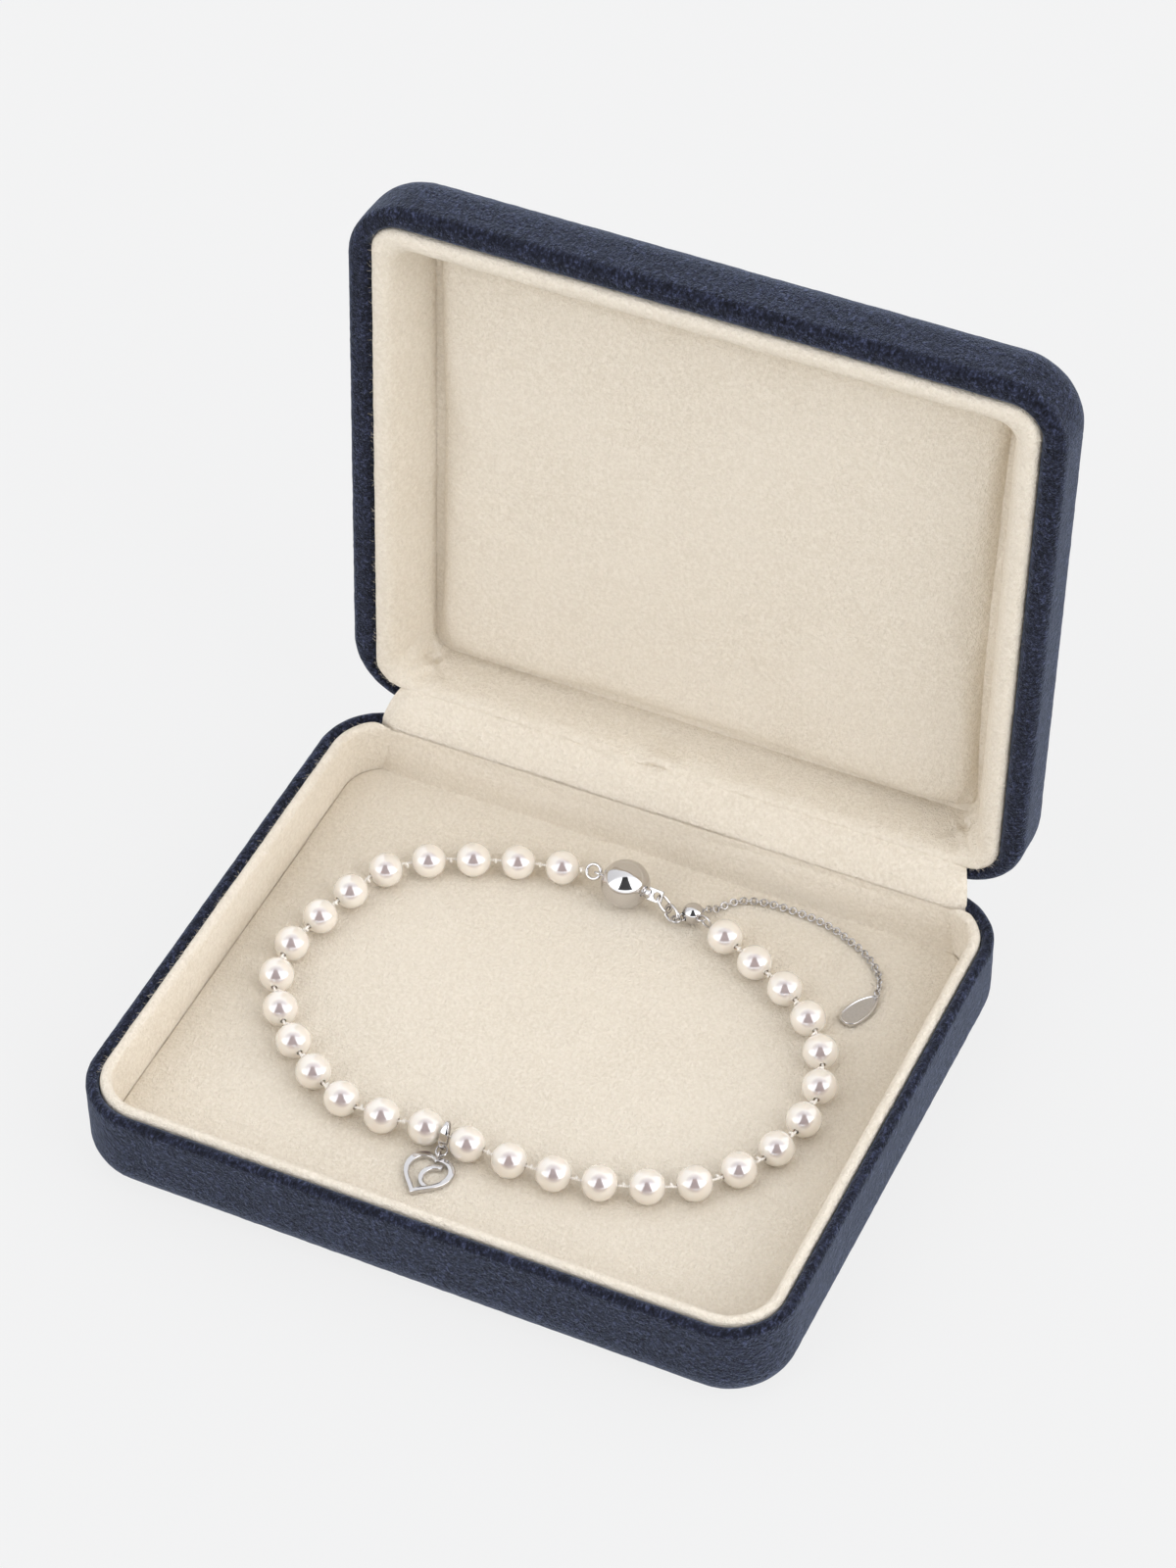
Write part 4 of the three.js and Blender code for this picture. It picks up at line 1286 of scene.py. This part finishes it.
# The chain's route over the pad: (x, y) in mm.
CHAIN_POINTS = [(12.9, 37), (14.4, 39.2), (16.6, 40.7), (20, 41.6), (25, 41.7), (30, 41.2),
                (34.6, 39.6), (38.6, 37.6), (41.6, 35), (43, 32.6), (43.4, 30.6)]
LINK_HALF_WIDTH = 0.53 * MM
LINK_TILT, LINK_SWING = 45, 12   # degrees; how far links lean to each side, and how unevenly
START_RING_R, START_RING_WIRE = 0.7 * MM, 0.22 * MM
SLIDER_BORE = 0.78 * MM
SLIDER_WIRE = 0.2 * MM       # half the thickness of the slider's eye and loop
LOOP_END = PEARL_AT[-1] + strand_direction(PEARL_COUNT - 1) * (PEARL_R + 0.75 * MM)

PLATE_TIP = Vector((43.7 * MM, 29.9 * MM, REST_Z))
PLATE_END = Vector((40.9 * MM, 22.6 * MM, REST_Z))
PLATE_HALF = 1.85 * MM       # radius of the teardrop's wide end
PLATE_TIP_R = 0.35 * MM      # and of its small end
# The plate's section, from its underside round the rim to its sunk middle: (inset, z) in mm.
PLATE_ROWS = [(0.22, 0.0), (0.05, 0.04), (0.0, 0.14), (0.0, 0.6), (0.04, 0.74), (0.12, 0.8),
              (0.26, 0.8), (0.33, 0.76), (0.37, 0.68), (0.45, 0.66), (0.8, 0.66)]
BELOW_RIM = REST_Z + 0.72 * MM   # between the rim's top and the sunk middle


class ANKLET_OT_adjuster(bpy.types.Operator):
    """Make the fine chain, the ball that slides on it, its loop and the end plate"""
    bl_idname = "anklet.adjuster"
    bl_label = "Adjuster"

    def execute(self, context):
        settings = context.scene.anklet_jewel
        silver = silver_material(settings)
        # Painted shade: the chain gets a darker, smeared satin silver so that it reads darker than
        # the other silver.
        chain_painted_shade = silver_material(settings, "Chain silver", 0.12, satin=True)
        finish_piece(self.chain(settings), "base", chain_painted_shade, ["adjuster_chain"])

        globe = ball("slider_body", SLIDER_R, SLIDER_AT, SLIDER_AXIS, 56, 40, SLIDER_BORE)
        out = (LOOP_END - SLIDER_AT).normalized()
        eye = wire_ring("slider_eye", 0.65 * MM, 0.65 * MM, SLIDER_WIRE,
                        SLIDER_AT + out * (SLIDER_R + 0.35 * MM), out, SLIDER_AXIS)
        slider = join("slider_globe", globe, eye)
        finish_piece(slider, "base", silver, ["slider_ball"])

        start = SLIDER_AT + out * (SLIDER_R + 0.38 * MM)
        loop = wire_ring("slider_loop_wire", (LOOP_END - start).length / 2, 0.95 * MM,
                         SLIDER_WIRE, (start + LOOP_END) / 2, out, UP, 0.85)
        finish_piece(loop, "base", silver, ["slider_loop"])

        plate = self.plate()
        satin = silver_material(settings, "Satin silver", 0.34, satin=True)
        finish_piece(plate, "base", silver, ["end_plate"])
        plate.data.materials.append(satin)
        for face in plate.data.polygons:
            if face.normal.z > 0.9 and face.center.z < BELOW_RIM:
                face.material_index = 1
        return {"FINISHED"}

    def chain(self, settings):
        """Links through the sliding ball, over the pad and down to the plate's tip."""
        route = [CHAIN_START + SLIDER_AXIS * 0.7 * MM, SLIDER_AT - SLIDER_AXIS * 1.9 * MM,
                 SLIDER_AT + SLIDER_AXIS * 1.9 * MM]
        route += [Vector((x * MM, y * MM, CHAIN_Z)) for x, y in CHAIN_POINTS]
        route.append(PLATE_TIP + (PLATE_END - PLATE_TIP).normalized() * 0.6 * MM
                     + UP * 0.6 * MM)
        line = [Vector(point) for point in smooth_rows([tuple(p) for p in route], 10)]
        stations = evenly(line, settings.link_length - settings.link_wire)
        random.seed(8)
        links = [wire_ring("chain_start_ring", START_RING_R, START_RING_R, START_RING_WIRE,
                           CHAIN_START, SLIDER_AXIS, FACING)]
        for i, (a, b) in enumerate(zip(stations, stations[1:])):
            along = (b - a).normalized()
            level = along.cross(UP).normalized()
            tilt = math.radians(LINK_TILT + random.uniform(-LINK_SWING, LINK_SWING))
            across = level * math.cos(tilt) + UP * math.sin(tilt) * (1 if i % 2 else -1)
            links.append(wire_ring("link", settings.link_length / 2, LINK_HALF_WIDTH,
                                   settings.link_wire / 2, (a + b) / 2, along, across,
                                   segments=18, sides=8))
        return join("chain_links", *links)

    def plate(self):
        """A teardrop with a raised polished rim, small end to the chain."""
        along = PLATE_END - PLATE_TIP
        wide_x = along.length - PLATE_HALF
        outline = self.teardrop(wide_x)
        rings = []
        for inset, z in PLATE_ROWS:
            points = []
            for x, y in outline:
                spine = min(max(x, 0.2 * MM), wide_x)
                away = Vector((x - spine, y, 0))
                keep = max(1 - inset * MM / max(away.length, TINY), 0.12)
                points.append(Vector((spine, 0, z * MM)) + away * keep)
            rings.append(points)
        plate = stack("end_plate_drop", rings)
        plate.data.transform(basis(PLATE_TIP, along, UP.cross(along)))
        return plate

    def teardrop(self, wide_x):
        """The outline, its small end round the origin and its wide end round wide_x."""
        side = []
        for i in range(25):
            t = i / 24
            side.append((2 * t * (1 - t) * 0.42 * wide_x + t * t * wide_x,
                         (1 - t) ** 2 * PLATE_TIP_R + 2 * t * (1 - t) * 1.25 * PLATE_HALF
                         + t * t * PLATE_HALF))
        wide = [math.pi / 2 - math.pi * i / 24 for i in range(1, 24)]
        small = [-math.pi / 2 - math.pi * i / 8 for i in range(1, 8)]
        return (side
                + [(wide_x + PLATE_HALF * math.cos(a), PLATE_HALF * math.sin(a)) for a in wide]
                + [(x, -y) for x, y in reversed(side)]
                + [(PLATE_TIP_R * math.cos(a), PLATE_TIP_R * math.sin(a)) for a in small])


# ---- the charm -------------------------------------------------------------------------
BAIL_ON = 14                 # the bail hangs between this pearl and the next
BAIL_HALF_LENGTH = 2.35 * MM
BAIL_HALF_WIDTH = 1.05 * MM
BAIL_T = 0.36 * MM
BAIL_NARROW = 0.55 * MM      # the band's width behind the thread
BAIL_WIDER = 0.95 * MM       # how much wider it is in the middle of its front
BAIL_LEAN = Vector((0, -0.45, -1)).normalized()
BAIL_FRONT = Vector((0, -1, 0.45)).normalized()
BAIL_AT = (PEARL_AT[BAIL_ON] + PEARL_AT[BAIL_ON + 1]) / 2 + Vector((0, -0.25, 0.2)) * MM
RING_ALONG = Vector((0, -0.97, -0.22)).normalized()
CHARM_RING_R = 0.9 * MM
CHARM_EYE_R = 0.62 * MM
CHARM_WIRE = 0.18 * MM       # half the thickness of the charm's ring and eye
CHARM_T = 0.8 * MM
CHARM_BEVEL = 0.13 * MM
CHARM_TURN = -0.12           # radians, as it lies on the pad
HEART_POINT = -8.4           # y of the heart's point, in mm
# The curl inside the heart, in mm and radians: its middle, its two radii and its sweep.
CURL_X, CURL_Y = 1.7, -3.9
CURL_OUTER, CURL_INNER = 2.6, 1.75
CURL_FROM, CURL_TO = 1.6, 4.8


def bail_point(angle):
    """A place on the bail's middle line, which is an oval round the thread."""
    return (BAIL_AT + BAIL_LEAN * BAIL_HALF_LENGTH * math.cos(angle)
            + BAIL_FRONT * BAIL_HALF_WIDTH * math.sin(angle))


CHARM_RING_AT = bail_point(math.radians(25)) + RING_ALONG * 0.3 * MM
CHARM_EYE_AT = CHARM_RING_AT + RING_ALONG * CHARM_RING_R


def heart(scale, drop):
    """The outline of a heart, its notch near the origin and its point down -Y."""
    half = [((0, -0.6), (0.5, 0.6), (4.1, 0.4), (4, -3)),
            ((4, -3), (3.9, -5.6), (1.2, -6.8), (0, HEART_POINT))]
    right = []
    for ends in half:
        for i in range(20):
            t = i / 20
            weights = ((1 - t) ** 3, 3 * t * (1 - t) ** 2, 3 * t * t * (1 - t), t ** 3)
            right.append([sum(w * p[axis] for w, p in zip(weights, ends)) for axis in (0, 1)])
    right.append((0, HEART_POINT))
    left = [(-x, y) for x, y in reversed(right[1:-1])]
    return [(x * scale * MM, (y * scale - drop) * MM) for x, y in right + left]


def curl():
    """The outline of the curl: out along the greater arc and back along the smaller one."""
    points = []
    for radius, start, end in ((CURL_OUTER, CURL_FROM, CURL_TO), (CURL_INNER, CURL_TO, CURL_FROM)):
        for i in range(33):
            a = start + (end - start) * i / 32
            points.append(((CURL_X + radius * math.cos(a)) * MM,
                           (CURL_Y + radius * math.sin(a)) * MM))
    return points


class ANKLET_OT_charm(bpy.types.Operator):
    """Make the bail, its ring and the open heart charm"""
    bl_idname = "anklet.charm"
    bl_label = "Charm"

    def execute(self, context):
        settings = context.scene.anklet_jewel
        silver = silver_material(settings)
        finish_piece(self.bail(), "base", silver, ["bail"])
        ring = wire_ring("charm_ring_wire", CHARM_RING_R, CHARM_RING_R, CHARM_WIRE,
                         CHARM_RING_AT, RING_ALONG, Vector((1, 0, 0)))
        finish_piece(ring, "base", silver, ["charm_ring"])

        open_heart = flat_shape("heart_frame", [heart(1, 0), heart(0.76, 0.9)], CHARM_T,
                                CHARM_BEVEL)
        band = flat_shape("heart_curl", [curl()], CHARM_T - 0.04 * MM, CHARM_BEVEL)
        charm = join("heart_charm", open_heart, band)
        notch = Vector((CHARM_EYE_AT.x, CHARM_EYE_AT.y + 0.1 * MM, REST_Z + CHARM_T / 2))
        charm.data.transform(Matrix.Translation(notch) @ Matrix.Rotation(CHARM_TURN, 4, "Z"))
        eye = wire_ring("charm_eye", CHARM_EYE_R, CHARM_EYE_R, CHARM_WIRE, CHARM_EYE_AT,
                        Vector((0, -1, 0)), UP)
        charm = join("heart_charm", charm, eye)
        finish_piece(charm, "base", silver, ["charm"])
        return {"FINISHED"}

    def bail(self):
        """A closed band round the thread, widest at the middle of its front."""
        deselect()
        bpy.ops.mesh.primitive_torus_add(major_segments=64, minor_segments=16,
                                         major_radius=1, minor_radius=0.25)
        band = bpy.context.object
        for vertex in band.data.vertices:
            x, y, z = vertex.co
            a = math.atan2(y, x)
            b = math.atan2(z, math.hypot(x, y) - 1)
            width = BAIL_NARROW + BAIL_WIDER * max(0.0, math.sin(a)) ** 2
            out = (BAIL_LEAN * BAIL_HALF_WIDTH * math.cos(a)
                   + BAIL_FRONT * BAIL_HALF_LENGTH * math.sin(a)).normalized()
            vertex.co = (bail_point(a) + out * signed_power(math.cos(b), 0.7) * BAIL_T / 2
                         + Vector((1, 0, 0)) * signed_power(math.sin(b), 0.7) * width / 2)
        outward(band, 70)
        return named(band, "bail_band")


# ---- the stage -------------------------------------------------------------------------
CAMERA_AT = Vector((219.42, -449.88, 561.95)) * MM
CAMERA_AZIMUTH = math.radians(25.21)
CAMERA_ELEVATION = math.radians(44.83)
CAMERA_ROLL = math.radians(-0.58)
SENSOR = 36.0
LENS = 109.14
FLOOR_GREY = 0.905
BACKDROP_GREY = 0.888        # what the camera sees behind the floor
SKY_COLOUR = (0.98, 1.0, 1.05, 1)
SKY_LOW, SKY_HIGH = 1.6, 2.9 # the dome's strength near the floor and higher up
SKY_TOP = 0.38               # share of that which is left overhead
WEDGE_LIGHT = 0.03           # share of the light that is left in the dark wedge
WEDGE_SOFT = 0.03            # softness of its sides


class ANKLET_OT_stage(bpy.types.Operator):
    """Set the camera, the pale floor and the soft light"""
    bl_idname = "anklet.stage"
    bl_label = "Stage"

    def execute(self, context):
        settings = context.scene.anklet_stage
        self.camera(context)
        self.floor(settings)
        self.light(context, settings)
        return {"FINISHED"}

    def camera(self, context):
        az, el, roll = CAMERA_AZIMUTH, CAMERA_ELEVATION, CAMERA_ROLL
        back = Vector((math.sin(az) * math.cos(el), -math.cos(az) * math.cos(el), math.sin(el)))
        level = UP.cross(back).normalized()
        high = back.cross(level)
        x = level * math.cos(roll) + high * math.sin(roll)
        y = high * math.cos(roll) - level * math.sin(roll)
        data = bpy.data.cameras.new("Camera")
        data.sensor_width = SENSOR
        data.lens = LENS
        data.clip_start, data.clip_end = 0.01, 50
        camera = bpy.data.objects.new("Camera", data)
        context.scene.collection.objects.link(camera)
        camera.matrix_world = (Matrix.Translation(CAMERA_AT)
                               @ Matrix((x, y, back)).transposed().to_4x4())
        context.scene.camera = camera

    def floor(self, settings):
        deselect()
        bpy.ops.mesh.primitive_plane_add(size=16, location=(0, 0, -0.1 * MM))
        floor = named(bpy.context.object, "floor")
        material, n, shader = new_material("Pale floor")
        set_even(shader, Base_Color=grey(0.6), Roughness=1, Specular_IOR_Level=0)
        glow = n.add("Emission", {"Color": grey(FLOOR_GREY), "Strength": 1.0})
        both = n.add("MixShader", {0: settings.floor_glow, 1: shader.outputs[0],
                                   2: glow.outputs[0]})
        out = material.node_tree.nodes["Material Output"]
        n.put(out.inputs["Surface"], both.outputs[0])
        floor.data.materials.append(material)

    def light(self, context, settings):
        """A soft dome, brighter to the right, with a dark wedge over the camera's side."""
        world = bpy.data.worlds.new("Soft dome")
        world.use_nodes = True
        context.scene.world = world
        n = Nodes(world.node_tree)
        for node in list(world.node_tree.nodes):
            world.node_tree.nodes.remove(node)
        way = n.add("TexCoord").outputs["Generated"]
        az = CAMERA_AZIMUTH
        toward = n.add("VectorMath", {0: way, 1: (math.sin(az), -math.cos(az), 0)},
                       operation="DOT_PRODUCT").outputs["Value"]
        side = n.add("VectorMath", {0: way, 1: (math.cos(az), math.sin(az), 0)},
                     operation="DOT_PRODUCT").outputs["Value"]
        high = n.add("SeparateXYZ", {0: way}).outputs["Z"]
        # Degrees over the horizon, measured from the camera's side.
        climb = n.math("MULTIPLY", n.math("ARCTAN2", high, toward), 180 / math.pi)
        horizon = n.ramp(high, 0.02, 0.12, 0.6, 1.0, smooth=True)
        dome = n.math("MULTIPLY", n.ramp(climb, 6, 20, SKY_LOW, SKY_HIGH, smooth=True),
                      n.ramp(climb, 55, 88, 1.0, SKY_TOP, smooth=True))
        tilted = n.math("MULTIPLY", dome, n.ramp(side, -1, 1, 0.82, 1.20))
        strength = n.math("MULTIPLY", n.math("MULTIPLY", horizon, tilted),
                          self.outside_wedge(n, climb, side))
        strength = n.math("MULTIPLY", strength, settings.dome)
        sky = n.add("Background", {"Color": SKY_COLOUR, "Strength": strength})
        seen = n.add("Background", {"Color": grey(BACKDROP_GREY), "Strength": 1.0})
        camera_ray = n.add("LightPath").outputs["Is Camera Ray"]
        both = n.add("MixShader", {0: camera_ray, 1: sky.outputs[0], 2: seen.outputs[0]})
        out = n.add("OutputWorld")
        n.put(out.inputs["Surface"], both.outputs[0])
        context.scene.view_settings.view_transform = "Standard"

    def outside_wedge(self, n, climb, side):
        """1 in the open sky, and little in a wedge that narrows as it climbs."""
        reach = n.ramp(climb, 15, 80, 0.56, 0.17)
        off_middle = n.math("ABSOLUTE", n.math("ADD", side, 0.04))
        inside = n.ramp(n.math("SUBTRACT", reach, off_middle), -WEDGE_SOFT, WEDGE_SOFT,
                        smooth=True)
        low_end = n.ramp(climb, 12, 18, smooth=True)
        high_end = n.ramp(climb, 76, 82, 1.0, 0.0, smooth=True)
        wedge = n.math("MULTIPLY", n.math("MULTIPLY", inside, low_end), high_end)
        return n.ramp(wedge, 0, 1, 1.0, WEDGE_LIGHT)


# ---- the add-on ------------------------------------------------------------------------
class ANKLET_PT_panel(bpy.types.Panel):
    """The pieces of the anklet and its box"""
    bl_idname = "ANKLET_PT_panel"
    bl_label = "Anklet"
    bl_space_type = "VIEW_3D"
    bl_region_type = "UI"
    bl_category = "Anklet"

    def draw(self, context):
        for group_name in ("anklet_box", "anklet_jewel", "anklet_stage"):
            values = getattr(context.scene, group_name)
            box = self.layout.box()
            for key in values.bl_rna.properties.keys():
                if key not in ("rna_type", "name"):
                    box.prop(values, key)
        for operator in OPERATORS:
            self.layout.operator(operator.bl_idname)


OPERATORS = (ANKLET_OT_stage, ANKLET_OT_base_shell, ANKLET_OT_base_lining, ANKLET_OT_lid_shell,
             ANKLET_OT_lid_lining, ANKLET_OT_hinge, ANKLET_OT_fibres, ANKLET_OT_pearls,
             ANKLET_OT_clasp, ANKLET_OT_adjuster, ANKLET_OT_charm)
SETTINGS = (("anklet_box", AnkletBoxSettings), ("anklet_jewel", AnkletJewelSettings),
            ("anklet_stage", AnkletStageSettings))


def register():
    for name, settings in SETTINGS:
        bpy.utils.register_class(settings)
        setattr(bpy.types.Scene, name, bpy.props.PointerProperty(type=settings))
    for operator in OPERATORS:
        bpy.utils.register_class(operator)
    bpy.utils.register_class(ANKLET_PT_panel)


def unregister():
    bpy.utils.unregister_class(ANKLET_PT_panel)
    for operator in reversed(OPERATORS):
        bpy.utils.unregister_class(operator)
    for name, settings in reversed(SETTINGS):
        delattr(bpy.types.Scene, name)
        bpy.utils.unregister_class(settings)


def main():
    register()
    for operator in OPERATORS:
        category, name = operator.bl_idname.split(".")
        getattr(getattr(bpy.ops, category), name)()


if __name__ == "__main__":
    main()
